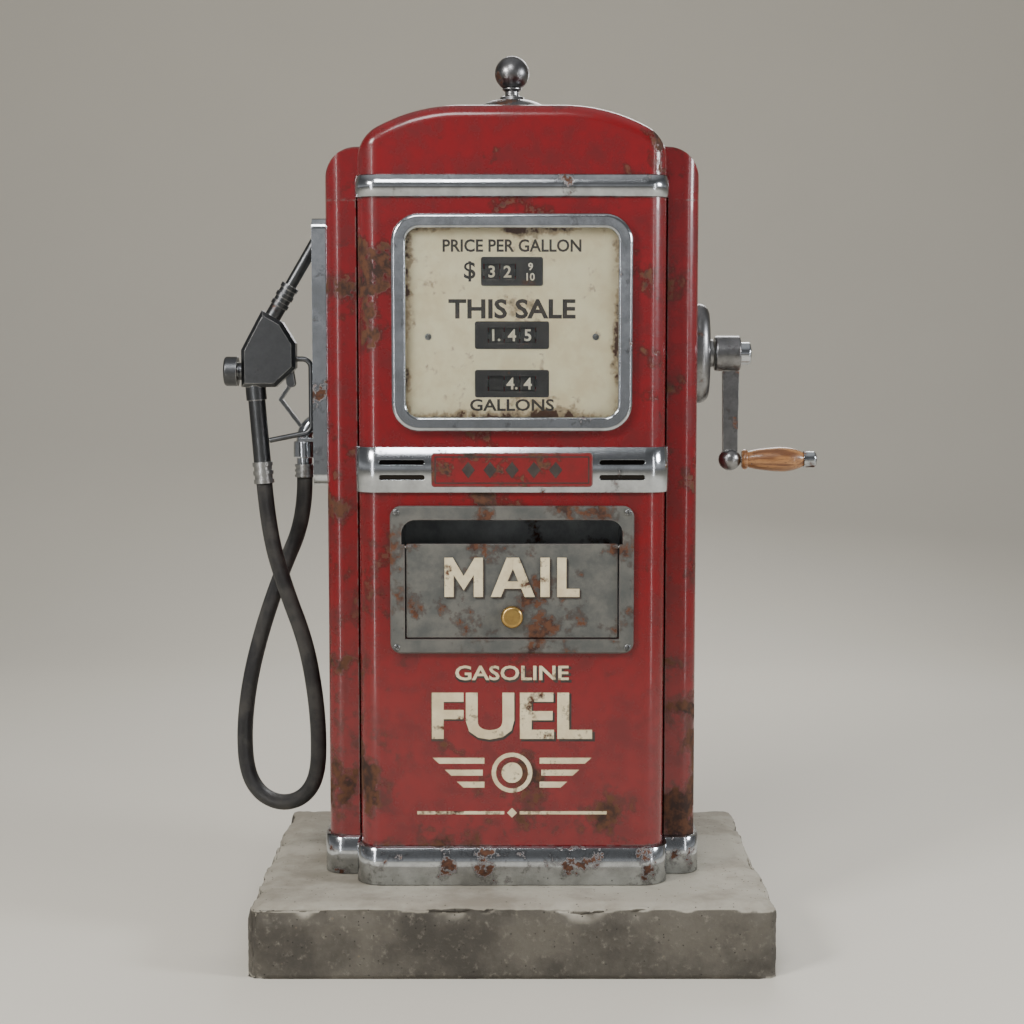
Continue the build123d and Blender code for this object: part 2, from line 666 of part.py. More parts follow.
# ================================================================ register behind the dial
cheek_front = wheel_axis_y - wheel_radius + 4
cheek_back = crank_y + 20
cheek_top = price_row + 48
bar_width, bar_thickness = 20.0, 10.0
with BuildPart() as register_frame:
    for end in (-1, 1):
        upright_box((0, end * (post_y - angle_leg + bar_width / 2), shelf_height - bar_thickness / 2),
                    (2 * (post_x - angle_steel), bar_width, bar_thickness))
    shelf_back = post_y - angle_leg + bar_width
    shelf_left, shelf_right = meter_x - variator_size[0] / 2 - 5, cheek_half_spread + 25
    upright_box(((shelf_left + shelf_right) / 2, (cheek_front + shelf_back) / 2,
                 shelf_height + shelf_steel / 2),
                (shelf_right - shelf_left, shelf_back - cheek_front, shelf_steel))
    for side in (-1, 1):
        upright_box((side * (cheek_half_spread + cheek_steel / 2), (cheek_front + cheek_back) / 2,
                     (shelf_height + cheek_top) / 2),
                    (cheek_steel, cheek_back - cheek_front, cheek_top - shelf_height))
    for row in (price_row, sale_row, gallons_row):
        with Locations(Plane(origin=(0, wheel_axis_y, row), z_dir=(1, 0, 0))):
            Cylinder(axle_radius, 2 * cheek_half_spread + cheek_steel)
    with Locations(Plane(origin=(cheek_half_spread + cheek_steel / 2, crank_y, crank_height),
                         z_dir=(1, 0, 0))):
        Cylinder(shaft_radius + running_fit, 3 * cheek_steel, mode=Mode.SUBTRACT)
    with Locations((meter_x, meter_y, shelf_height)):
        Cylinder(meter_shaft_radius + 2, 4 * bar_thickness, mode=Mode.SUBTRACT)
save(register_frame, "register_frame")

# Figure wheels: rims on the register's axles, ten figures round each. The sale and gallons
# wheels turn with the meter; the two price wheels stay where they were set.
rim_thickness, wheel_web, boss_radius = 5.0, 6.0, 12.0


def figure_wheel(x, row):
    """One figure wheel on the axle of its row."""
    with Locations(Plane(origin=(x, wheel_axis_y, row), z_dir=(1, 0, 0))):
        Cylinder(wheel_radius, wheel_width)
        Cylinder(wheel_radius - rim_thickness, wheel_width, mode=Mode.SUBTRACT)
        Cylinder(wheel_radius - rim_thickness, wheel_web)
        Cylinder(boss_radius, wheel_width)
        Cylinder(axle_radius + running_fit, wheel_width, mode=Mode.SUBTRACT)


for row_name, row in (("sale", sale_row), ("gallons", gallons_row)):
    for place in range(3):
        with BuildPart() as wheel:
            figure_wheel((place - 1) * wheel_pitch, row)
        save(wheel, row_name + "_wheel_" + str(place + 1))

with BuildPart() as price_wheels:
    for side in (-1, 1):
        figure_wheel(price_aperture_shift + side * wheel_pitch / 2, price_row)
save(price_wheels, "price_wheels")

# Gearbox that turns the meter's shaft into money and gallons.
with BuildPart() as variator_case:
    upright_box((meter_x, meter_y - 10, shelf_height + shelf_steel + variator_size[2] / 2),
                variator_size)
    chamfer(variator_case.edges().filter_by(Axis.Z), 6)
    with Locations((meter_x, meter_y, shelf_height + shelf_steel)):
        Cylinder(meter_shaft_radius + running_fit, variator_size[2], mode=Mode.SUBTRACT)
save(variator_case, "variator_case")

# ================================================================ pump, motor and meter
with BuildPart() as supply_pipe:
    with BuildSketch(Plane.XY.offset(pipe_recess)):
        with Locations((pump_x, pump_y)):
            Circle(pipe_radius)
            Circle(pipe_bore, mode=Mode.SUBTRACT)
    extrude(amount=pump_bottom - pipe_recess)
save(supply_pipe, "supply_pipe")

with BuildPart() as pump_unit:
    upright_box((pump_x, pump_y, pump_bottom + pump_size[2] / 2), pump_size)
    chamfer(pump_unit.edges().filter_by(Axis.Z), 14)
    upright_box((pump_x, pump_y, (floor_level + pump_bottom) / 2),
                (pump_size[0] - 20, pump_size[1] - 20, pump_bottom - floor_level))
    with Locations((pump_x, pump_y, (floor_level + pump_bottom) / 2)):
        Cylinder(pipe_radius + seat_gap, pump_bottom - floor_level, mode=Mode.SUBTRACT)
    pump_back = pump_y + pump_size[1] / 2
    with Locations(Plane(origin=(pump_x, pump_back, pump_shaft_height), z_dir=(0, 1, 0))):
        Cylinder(drive_radius + 10, 20)
        Cylinder(drive_radius + running_fit, 60, mode=Mode.SUBTRACT)
save(pump_unit, "pump_unit")

with BuildPart() as motor:
    with Locations(Plane(origin=(motor_x, motor_y, motor_height), z_dir=(0, 1, 0))):
        Cylinder(motor_radius, motor_length)
    chamfer(motor.edges().filter_by(GeomType.CIRCLE), 8)
    upright_box((motor_x, motor_y, (floor_level + motor_height) / 2 - 15),
                (1.6 * motor_radius, 0.6 * motor_length, motor_height - floor_level - 30))
    motor_back = motor_y + motor_length / 2
    with Locations(Plane(origin=(motor_x, motor_back, motor_height), z_dir=(0, 1, 0))):
        Cylinder(drive_radius + running_fit, 60, mode=Mode.SUBTRACT)
save(motor, "motor")

pulleys = (("motor_pulley", motor_x, motor_height, motor_pulley_radius, motor_back),
           ("pump_pulley", pump_x, pump_shaft_height, pump_pulley_radius, pump_back))
for pulley_name, x, z, radius, seat in pulleys:
    shaft_start = seat - 25
    with BuildPart() as pulley:
        with Locations(Plane(origin=(x, pulley_y, z), z_dir=(0, 1, 0))):
            Cylinder(radius, pulley_width)
        chamfer(pulley.edges().filter_by(GeomType.CIRCLE), 2)
        turned(drive_radius, Plane(origin=(x, shaft_start, z), z_dir=(0, 1, 0)),
               pulley_y + pulley_width - shaft_start)
    save(pulley, pulley_name)

with BuildPart() as belt:
    with BuildSketch(Plane.XZ.offset(-pulley_y - belt_width / 2)) as belt_outside:
        with Locations((motor_x, motor_height)):
            Circle(motor_pulley_radius + belt_gap + belt_thickness)
        with Locations((pump_x, pump_shaft_height)):
            Circle(pump_pulley_radius + belt_gap + belt_thickness)
        make_hull()
    extrude(amount=belt_width)
    with BuildSketch(Plane.XZ.offset(-pulley_y - belt_width / 2)) as belt_inside:
        with Locations((motor_x, motor_height)):
            Circle(motor_pulley_radius + belt_gap)
        with Locations((pump_x, pump_shaft_height)):
            Circle(pump_pulley_radius + belt_gap)
        make_hull()
    extrude(amount=belt_width, mode=Mode.SUBTRACT)
save(belt, "belt")

meter_top = meter_bottom + meter_height
with BuildPart() as meter:
    turned(meter_radius, Plane(origin=(meter_x, meter_y, meter_bottom)), meter_height)
    chamfer(meter.edges().filter_by(GeomType.CIRCLE), 1)
    turned(meter_radius + 6, Plane(origin=(meter_x, meter_y, meter_bottom + meter_height / 2 - 6)), 12)
    with Locations((meter_x, meter_y, meter_top)):
        Cylinder(meter_shaft_radius + running_fit, 50, mode=Mode.SUBTRACT)
save(meter, "meter")

with BuildPart() as meter_shaft:
    shaft_bottom = meter_top - 22
    turned(meter_shaft_radius, Plane(origin=(meter_x, meter_y, shaft_bottom)),
           shelf_height + shelf_steel + variator_size[2] / 2 - 3 - shaft_bottom)
save(meter_shaft, "meter_shaft")

# Two lengths of pipe: from the pump up to the meter, and from the meter to the outlet.
elbow_start = -half_housing + 10
with BuildPart() as fuel_pipes:
    pump_top = pump_bottom + pump_size[2]
    turned(riser_radius, Plane(origin=(meter_x, riser_y, pump_top)), meter_bottom - pump_top)
    with BuildLine():
        FilletPolyline((outlet_port_x, outlet_y, meter_top), (outlet_port_x, outlet_y, outlet_height),
                       (elbow_start, outlet_y, outlet_height), radius=outlet_pipe_bend)
    with BuildSketch(Plane(origin=(outlet_port_x, outlet_y, meter_top))):
        Circle(outlet_pipe_radius)
    sweep()
save(fuel_pipes, "fuel_pipes")

# ================================================================ outlet, hose and holster
with BuildPart() as outlet_elbow:
    with BuildLine():
        FilletPolyline((elbow_start, outlet_y, outlet_height), (outlet_x, outlet_y, outlet_height),
                       (outlet_x, outlet_y, cup_top - 1), radius=outlet_bend)
    with BuildSketch(Plane(origin=(elbow_start, outlet_y, outlet_height), z_dir=(-1, 0, 0))):
        Circle(outlet_tube_radius)
    sweep()
    turned(outlet_flange_radius, Plane(origin=(-half_housing, outlet_y, outlet_height), z_dir=(-1, 0, 0)),
           outlet_flange_thickness)
    cup_bottom = cup_top - cup_length
    turned(cup_radius, Plane(origin=(outlet_x, outlet_y, cup_bottom)), cup_length)
    chamfer(outlet_elbow.faces().filter_by(Axis.Z).edges().filter_by(GeomType.CIRCLE), 2)
    outlet_ferrule_top = hose_points[-1][2] + ferrule_length
    turned(outlet_tube_radius, Plane(origin=(outlet_x, outlet_y, outlet_ferrule_top)),
           cup_bottom - outlet_ferrule_top + overlap)
save(outlet_elbow, "outlet_elbow")


def ferrule(start, length):
    """A crimped hose ferrule along the plane's normal: three raised rings on a sleeve."""
    turned(ferrule_radius - 2, start, length)
    ring = length / 5
    for place in (0, 2, 4):
        turned(ferrule_radius, start.offset(place * ring), ring)


with BuildPart() as outlet_ferrule:
    ferrule(Plane(origin=hose_points[-1]), ferrule_length)
save(outlet_ferrule, "outlet_ferrule")


def corner_radius(before, corner, after):
    """The largest bend that the shorter of two runs allows at a corner of the hose."""
    run_in, run_out = corner - before, after - corner
    turn = math.radians(run_in.get_angle(run_out))
    return 0.45 * min(run_in.length, run_out.length) / math.tan(turn / 2)


route = [Vector(*point) for point in hose_points]
hose_bends = [corner_radius(*route[i - 1:i + 2]) for i in range(1, len(route) - 1)]
hose_exit = (route[0] - route[1]).normalized()
with BuildPart() as hose:
    with BuildLine() as hose_line:
        FilletPolyline(*hose_points, radius=hose_bends)
    with BuildSketch(Plane(origin=hose_points[0], z_dir=-hose_exit)):
        Circle(hose_radius)
    sweep()
save(hose, "hose")
hose_length = sum(edge.length for edge in hose_line.edges())
print("hose bends", [round(bend, 1) for bend in hose_bends])
print("hose length", round(hose_length, 1), "volume ratio",
      round(hose.part.volume / (math.pi * hose_radius ** 2 * hose_length), 4))

with BuildPart() as nozzle_holster:
    holster_middle = (holster_bottom + holster_top) / 2
    with BuildSketch(Plane.YZ.offset(-half_housing)):
        with Locations((nozzle_y, holster_middle)):
            RectangleRounded(2 * holster_half_width, holster_top - holster_bottom, 20)
    extrude(amount=-holster_proud)
    with BuildSketch(Plane.YZ.offset(-half_housing - holster_sheet)):
        with Locations((nozzle_y, holster_middle)):
            RectangleRounded(2 * (holster_half_width - holster_sheet),
                             holster_top - holster_bottom - 2 * holster_sheet, 20 - holster_sheet)
    extrude(amount=-holster_proud, mode=Mode.SUBTRACT)
    upright_box((-half_housing - holster_shelf_reach / 2 - overlap, nozzle_y,
                 holster_shelf_height + holster_shelf_thickness / 2),
                (holster_shelf_reach, holster_shelf_width, holster_shelf_thickness))
save(nozzle_holster, "nozzle_holster")

# ================================================================ nozzle
nozzle_base = Plane(origin=hose_points[0], z_dir=hose_exit)
with BuildPart() as nozzle_ferrule:
    ferrule(nozzle_base, barrel_start)
save(nozzle_ferrule, "nozzle_ferrule")

lean = math.radians(spout_lean)
spout_axis = Vector(math.sin(lean), 0, math.cos(lean))
spout_across = Vector(-math.cos(lean), 0, math.sin(lean))
spout_root = Vector(spout_start[0], nozzle_y, spout_start[1])
neck_half = 22.0
neck_left = spout_root + spout_across * neck_half
neck_right = spout_root - spout_across * neck_half
nozzle_plane = Plane.XZ.offset(-nozzle_y)
with BuildPart() as nozzle_body:
    with BuildSketch(nozzle_plane):
        with BuildLine():
            Polyline((body_left, body_bottom), (body_left, cap_height + 40), (neck_left.X, neck_left.Z),
                     (neck_right.X, neck_right.Z), (body_right, 1112), (body_right, 1066),
                     (body_right - 38, body_bottom), close=True)
        make_face()
    extrude(amount=nozzle_half_thickness, both=True)
    chamfer(nozzle_body.faces().filter_by(Axis.Y).edges(), 7)
    turned(barrel_radius, nozzle_base.offset(barrel_start), barrel_end - barrel_start)
    turned(barrel_radius + 3, nozzle_base.offset(barrel_end - 30), 30)
    for side in (-1, 1):
        ear_middle = nozzle_y + side * (lever_half_width + seat_gap + ear_thickness / 2)
        with BuildSketch(Plane.XZ.offset(-ear_middle + ear_thickness / 2)):
            with Locations(lever_pivot, (lever_pivot[0] - 4, lever_pivot[1] + 26)):
                Circle(8)
            make_hull()
        extrude(amount=-ear_thickness)
    with Locations(Plane(origin=(lever_pivot[0], nozzle_y, lever_pivot[1]), z_dir=(0, 1, 0))):
        Cylinder(pivot_radius, 2 * (lever_half_width + ear_thickness))
save(nozzle_body, "nozzle_body")

with BuildPart() as nozzle_spout:
    spout_plane = Plane(origin=spout_root, z_dir=spout_axis)
    turned(spout_radius, spout_plane, spout_length)
    collar_ring = spout_collar_length / 5
    for place in (0, 2, 4):
        turned(spout_collar_radius, spout_plane.offset(spout_collar_start + place * collar_ring),
               collar_ring)
    turned(spout_collar_radius - 2, spout_plane, spout_collar_start + spout_collar_length)
    with BuildSketch(spout_plane.offset(spout_length)) as spout_mouth:
        Circle(spout_bore)
    extrude(spout_mouth.sketch, amount=-spout_length + 10, mode=Mode.SUBTRACT)
save(nozzle_spout, "nozzle_spout")

with BuildPart() as nozzle_cap:
    neck_length = 8.0
    cap_plane = Plane(origin=(body_left, nozzle_y, cap_height), z_dir=(-1, 0, 0))
    turned(cap_radius - 11, cap_plane, neck_length)
    turned(cap_radius, cap_plane.offset(neck_length), cap_length)
    fillet(nozzle_cap.faces().sort_by(Axis.X)[0].edges(), 5)
save(nozzle_cap, "nozzle_cap")

# The guard runs from the body's right face down and back to the barrel.
guard_slope = 16.0
barrel_at_guard = nozzle_base.origin + hose_exit * (guard_bottom - guard_slope - hose_points[0][2])
guard_end_x = barrel_at_guard.X + barrel_radius + 3 * seat_gap
with BuildPart() as nozzle_guard:
    with BuildLine():
        FilletPolyline((body_right, nozzle_y, guard_top), (guard_x, nozzle_y, guard_top),
                       (guard_x, nozzle_y, guard_bottom),
                       (guard_end_x, nozzle_y, guard_bottom - guard_slope), radius=guard_bend)
    with BuildSketch(Plane(origin=(body_right, nozzle_y, guard_top), z_dir=(1, 0, 0))):
        Circle(guard_radius)
    sweep()
save(nozzle_guard, "nozzle_guard")

with BuildPart() as nozzle_lever:
    knee = (lever_pivot[0] - 20, lever_pivot[1] - 30)
    tip = (lever_pivot[0] + 16, lever_pivot[1] - 78)
    with BuildSketch(nozzle_plane):
        with BuildLine():
            Polyline(lever_pivot, knee, tip)
            offset(amount=lever_bar / 2)
        make_face()
        with Locations(lever_pivot):
            Circle(lever_bar)
            Circle(pivot_radius + running_fit, mode=Mode.SUBTRACT)
    extrude(amount=lever_half_width, both=True)
save(nozzle_lever, "nozzle_lever")

# ================================================================ reset crank
crank_center = (half_housing, crank_y, crank_height)
grip_height = crank_height - arm_drop
with BuildPart() as crank_plate:
    with BuildSketch(Plane.YZ.offset(half_housing)):
        with Locations((crank_y, crank_height)):
            Ellipse(crank_plate_width / 2, crank_plate_height / 2)
    extrude(amount=crank_plate_proud)
    fillet(crank_plate.faces().sort_by(Axis.X)[-1].edges(), crank_plate_round)
    rim = 14.0
    with BuildSketch(Plane.YZ.offset(half_housing)):
        with Locations((crank_y, crank_height)):
            Ellipse(crank_plate_width / 2 - rim, crank_plate_height / 2 - rim)
    extrude(amount=crank_plate_proud - 2 * crank_plate_sheet, mode=Mode.SUBTRACT)
    turned(collar_radius, Plane(origin=(half_housing + crank_plate_proud - 8, crank_y, crank_height),
                                z_dir=(1, 0, 0)), collar_length + 8)
    chamfer(crank_plate.faces().sort_by(Axis.X)[-1].edges(), 1.5)
    with Locations(Plane(origin=crank_center, z_dir=(1, 0, 0))):
        Cylinder(shaft_radius + running_fit, 3 * crank_plate_proud, mode=Mode.SUBTRACT)
save(crank_plate, "crank_plate")

hub_end = hub_start + hub_length
with BuildPart() as crank_shaft:
    shaft_tip = cheek_half_spread - 8
    turned(shaft_radius, Plane(origin=(shaft_tip, crank_y, crank_height), z_dir=(1, 0, 0)),
           hub_end - shaft_tip)
save(crank_shaft, "crank_shaft")

with BuildPart() as crank_arm:
    turned(hub_radius, Plane(origin=(hub_start, crank_y, crank_height), z_dir=(1, 0, 0)), hub_length)
    fillet(crank_arm.faces().filter_by(Axis.X).edges(), 4)
    with BuildSketch(Plane.XZ.offset(-crank_y)):
        with BuildLine():
            Polyline((arm_x - arm_top_width / 2, crank_height - 18),
                     (arm_x + arm_top_width / 2, crank_height - 18),
                     (arm_x + arm_end_width / 2, grip_height),
                     (arm_x - arm_end_width / 2, grip_height), close=True)
        make_face()
    extrude(amount=arm_thickness / 2, both=True)
    with Locations((arm_x, crank_y, grip_height)):
        Sphere(ball_radius)
    turned(spindle_radius, Plane(origin=(arm_x, crank_y, grip_height), z_dir=(1, 0, 0)),
           grip_start + grip_length + grip_nut_length / 2 - arm_x)
    with Locations(Plane(origin=crank_center, z_dir=(1, 0, 0))):
        Cylinder(shaft_radius, 4 * hub_end, mode=Mode.SUBTRACT)
save(crank_arm, "crank_arm")

grip_bore = spindle_radius + running_fit
grip_plane = Plane(origin=(grip_start, crank_y, grip_height), x_dir=(1, 0, 0), z_dir=(0, -1, 0))
with BuildPart() as crank_grip:
    with BuildSketch(grip_plane):
        with BuildLine():
            Polyline((0, 14), (0, grip_bore), (grip_length, grip_bore), (grip_length, 13))
            ThreePointArc((0, 14), (6, 19), (12, 15))
            Spline((12, 15), (24, 18), (54, grip_radius - 1), (82, grip_radius), (105, 18),
                   (grip_length, 13))
        make_face()
    revolve(axis=Axis(grip_plane.origin, (1, 0, 0)))
save(crank_grip, "crank_grip")

# Two chromed cap nuts: one holds the arm on its shaft, one keeps the grip on its spindle.
with BuildPart() as cap_nuts:
    turned(hub_nut_radius, Plane(origin=(hub_end, crank_y, crank_height), z_dir=(1, 0, 0)),
           hub_nut_length)
    fillet(cap_nuts.faces().sort_by(Axis.X)[-1].edges(), 5)
    nut_plane = Plane(origin=(grip_start + grip_length + 0.5, crank_y, grip_height), z_dir=(1, 0, 0))
    turned(grip_nut_radius, nut_plane, grip_nut_length)
    fillet(cap_nuts.faces().sort_by(Axis.X)[-1].edges(), 6)
    with BuildSketch(nut_plane) as nut_bore:
        Circle(spindle_radius)
    extrude(nut_bore.sketch, amount=grip_nut_length / 2 - 0.5, mode=Mode.SUBTRACT)
save(cap_nuts, "cap_nuts")

# ================================================================ rear door
hinge_x, hinge_y = half_bulge, housing_depth / 2 + hinge_offset
with BuildPart() as rear_door:
    with BuildSketch(Plane.XY.offset(skirt_top + door_gap)):
        centre_panel_plan(1, door_gap)
    extrude(amount=panel_height - 2 * door_gap)
    for height in hinge_heights:
        with Locations((hinge_x, hinge_y, height)):
            Cylinder(knuckle_radius + 1.5, knuckle_length + 1,
                     align=(Align.CENTER, Align.CENTER, Align.MAX), mode=Mode.SUBTRACT)
            Cylinder(knuckle_radius, knuckle_length,
                     align=(Align.CENTER, Align.CENTER, Align.MIN))
            Cylinder(hinge_pin_radius + running_fit, knuckle_length,
                     align=(Align.CENTER, Align.CENTER, Align.MIN), mode=Mode.SUBTRACT)
    with Locations(Plane(origin=(lock_x, body_depth / 2, lock_height), z_dir=(0, 1, 0))):
        Cylinder(lock_radius + running_fit, 4 * sheet, mode=Mode.SUBTRACT)
save(rear_door, "rear_door")

# Lift-off hinges: each lower knuckle carries the pin and a leaf on the side housing.
with BuildPart() as door_hinges:
    for height in hinge_heights:
        lower = height - seat_gap - knuckle_length
        turned(knuckle_radius, Plane(origin=(hinge_x, hinge_y, lower)), knuckle_length)
        turned(hinge_pin_radius, Plane(origin=(hinge_x, hinge_y, lower)), 2 * knuckle_length - 2)
        leaf_start = side_cut + 1
        leaf_y = housing_depth / 2 + leaf_thickness / 2
        upright_box((leaf_start + leaf_width / 2 - 2, leaf_y, lower + knuckle_length / 2),
                    (leaf_width, leaf_thickness, knuckle_length))
        bridge_y = housing_depth / 2 + leaf_thickness
        upright_box(((hinge_x + leaf_start) / 2 + 2, bridge_y, lower + knuckle_length / 2),
                    (leaf_start - hinge_x + 2, leaf_thickness, knuckle_length))
save(door_hinges, "door_hinges")

# Turn handle with its cam: upright when free, level behind the keeper when locked.
with BuildPart() as door_lock:
    cam_back = keeper_end - angle_steel - cam_gap - cam_thickness
    handle_y = body_depth / 2 + handle_reach
    turned(lock_radius, Plane(origin=(lock_x, cam_back, lock_height), z_dir=(0, 1, 0)),
           handle_y - cam_back)
    upright_box((lock_x, handle_y, lock_height), (handle_width, handle_thickness, handle_length))
    upright_box((lock_x, cam_back + cam_thickness / 2, lock_height + cam_reach / 2 - 4),
                (2 * lock_radius, cam_thickness, cam_reach + 8))
    fillet(door_lock.faces().sort_by(Axis.Y)[-1].edges(), 3)
save(door_lock, "door_lock")

# ================================================================ finial
with BuildPart() as finial_base:
    dome_top = finial_base_height
    with BuildSketch(Plane.XZ):
        with BuildLine():
            Polyline((0, crown_height), (finial_base_radius, crown_height),
                     (finial_base_radius, crown_height + 7))
            ThreePointArc((finial_base_radius, crown_height + 7), (58, crown_height + 22),
                          (24, crown_height + 32))
            Polyline((24, crown_height + 32), (22, crown_height + dome_top),
                     (neck_radius, crown_height + dome_top + 3),
                     (neck_radius, crown_height + dome_top + neck_height - 6),
                     (neck_radius + 5, crown_height + dome_top + neck_height - 2),
                     (neck_radius + 5, crown_height + dome_top + neck_height),
                     (0, crown_height + dome_top + neck_height), (0, crown_height))
        make_face()
    revolve(axis=Axis.Z)
save(finial_base, "finial_base")

with BuildPart() as finial_ball:
    ball_seat = crown_height + finial_base_height + neck_height
    with Locations((0, 0, ball_seat + finial_ball_radius - seat_cut)):
        Sphere(finial_ball_radius)
    split(bisect_by=Plane.XY.offset(ball_seat), keep=Keep.TOP)
save(finial_ball, "finial_ball")
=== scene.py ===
# %% [markdown]
# # A roadside gas pump that serves as a mailbox
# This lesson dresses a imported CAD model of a 1940s gas pump: a red pressed steel casing on a
# concrete slab, a computing dial, a mail slot, a hose and nozzle on the left and a reset crank
# on the right. The CAD model fixes every size and every joint, so each cell below only adds
# surface: softened edges, lettering, figures, the hose and the finishes.

# %% Load the frame
import bpy
import bmesh
import json
import math
from mathutils import Vector, Matrix, noise


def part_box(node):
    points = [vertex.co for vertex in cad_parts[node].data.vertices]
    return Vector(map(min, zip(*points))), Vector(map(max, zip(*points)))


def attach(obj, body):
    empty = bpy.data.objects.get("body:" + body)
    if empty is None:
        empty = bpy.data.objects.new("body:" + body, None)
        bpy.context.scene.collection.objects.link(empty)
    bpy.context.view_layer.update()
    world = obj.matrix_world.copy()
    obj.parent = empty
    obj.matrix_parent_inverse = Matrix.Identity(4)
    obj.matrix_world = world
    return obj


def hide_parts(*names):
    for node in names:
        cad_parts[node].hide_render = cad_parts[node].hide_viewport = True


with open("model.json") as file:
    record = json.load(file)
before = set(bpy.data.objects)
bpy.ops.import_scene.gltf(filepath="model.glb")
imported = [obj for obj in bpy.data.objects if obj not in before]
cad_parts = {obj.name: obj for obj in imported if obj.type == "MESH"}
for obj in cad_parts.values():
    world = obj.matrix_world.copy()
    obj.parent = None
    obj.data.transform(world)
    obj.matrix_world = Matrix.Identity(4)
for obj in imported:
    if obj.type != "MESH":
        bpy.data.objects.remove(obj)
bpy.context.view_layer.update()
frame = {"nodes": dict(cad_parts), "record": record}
node_body = {node: body for body, nodes in frame["record"]["behaviour"]["bodies"].items()
             for node in nodes}
node_slot = {part["node"]: part["material_slot"] for part in frame["record"]["subparts"]}

# %% [markdown]
# ## Camera, floor and light
# The pump is seen square from the front, from chest height and turned slightly down, so the
# slab's top and the finial's base both show, with a mild perspective. The floor curves up
# into the backdrop, so nothing draws the eye from the object. Large soft lights stand on every
# side, two tall strips make the long streaks on the rounded corners, and a pale world fills the
# shadows.

# %% Camera, floor and light
eye_distance, eye_height, look_height = 3.51, 1.10, 0.800
scene = bpy.context.scene
camera_data = bpy.data.cameras.new("camera")
camera = bpy.data.objects.new("camera", camera_data)
scene.collection.objects.link(camera)
camera.location = (0.0, -eye_distance, eye_height)
camera.rotation_euler = (math.radians(90) - math.atan2(eye_height - look_height, eye_distance), 0, 0)
camera_data.lens, camera_data.sensor_width = 65.0, 36.0
camera_data.shift_y = -0.004
scene.camera = camera


def link(obj):
    """Puts a new object into the scene's collection."""
    scene.collection.objects.link(obj)
    return obj


def area_light(name, place, target, size, power, tint=(1.0, 1.0, 1.0)):
    """A square soft light at place, aimed at target."""
    data = bpy.data.lights.new(name, "AREA")
    data.shape, data.size, data.energy, data.color = "SQUARE", size, power, tint
    lamp = link(bpy.data.objects.new(name, data))
    lamp.location = place
    lamp.rotation_euler = (Vector(target) - Vector(place)).to_track_quat("-Z", "Y").to_euler()
    return lamp


center = (0.0, 0.0, 0.8)
area_light("key_light", (-2.4, -2.6, 2.7), center, 0.9, 88.0, (1.0, 0.97, 0.93))
area_light("side_light", (2.9, -1.2, 1.9), center, 0.7, 60.0, (0.95, 0.97, 1.0))
area_light("back_light", (0.6, 3.2, 2.6), center, 1.8, 60.0)
area_light("front_fill", (-0.6, -3.0, 3.7), center, 1.1, 56.0)
strip_width, strip_height = 0.14, 2.2
for name, place, power in (("left_strip", (-1.75, -2.5, 1.0), 13.0),
                           ("right_strip", (2.1, -2.1, 1.0), 8.0)):
    strip = area_light(name, place, center, strip_width, power)
    strip.data.shape, strip.data.size_y = "RECTANGLE", strip_height

bend_start, bend_radius, floor_half, backdrop_top = 3.0, 2.5, 12.0, 9.0
bend = [(bend_start + bend_radius * math.sin(math.radians(turn)),
         bend_radius - bend_radius * math.cos(math.radians(turn))) for turn in range(0, 91, 6)]
sweep = [(-floor_half, 0.0)] + bend + [(bend_start + bend_radius, backdrop_top)]
floor_mesh = bpy.data.meshes.new("studio_floor")
floor_mesh.from_pydata([(x, y, z) for y, z in sweep for x in (-floor_half, floor_half)], [],
                       [(2 * i, 2 * i + 1, 2 * i + 3, 2 * i + 2) for i in range(len(sweep) - 1)])
floor_mesh.shade_smooth()
floor = link(bpy.data.objects.new("studio_floor", floor_mesh))

world = bpy.data.worlds.new("studio_air")
scene.world = world
world.use_nodes = True
sky = world.node_tree
background = sky.nodes["Background"]
sky_height = sky.nodes.new("ShaderNodeSeparateXYZ")
sky.links.new(sky.nodes.new("ShaderNodeTexCoord").outputs["Generated"], sky_height.inputs[0])
sky_tones = sky.nodes.new("ShaderNodeValToRGB")
for place, tone in ((0.30, 0.05), (0.44, 0.10), (0.52, 1.0), (0.60, 0.34), (0.80, 0.22), (0.97, 1.1)):
    stop = sky_tones.color_ramp.elements.new(place)
    stop.color = (tone, tone, tone * 1.01, 1)
for spare in (0, -1):
    sky_tones.color_ramp.elements.remove(sky_tones.color_ramp.elements[spare])
lifted = sky.nodes.new("ShaderNodeMath")
lifted.operation = "MULTIPLY_ADD"
lifted.inputs[1].default_value = lifted.inputs[2].default_value = 0.5
sky.links.new(sky_height.outputs["Z"], lifted.inputs[0])
sky.links.new(lifted.outputs[0], sky_tones.inputs[0])
sky.links.new(sky_tones.outputs[0], background.inputs["Color"])
background.inputs["Strength"].default_value = 0.45
print("camera", tuple(camera.location))

# %% [markdown]
# ## The hose
# The real hose is rubber with a fabric braid inside. It leaves the nozzle's ferrule, hangs in
# one loop that crosses behind itself, and returns to the outlet under the side elbow. Its route
# is a short list of points, and a NURBS curve of order 3 smooths them. A bevelled curve would
# do, but a mesh tube lets a material follow the length, so rings of points are swept along the
# curve with a frame that is carried from ring to ring.

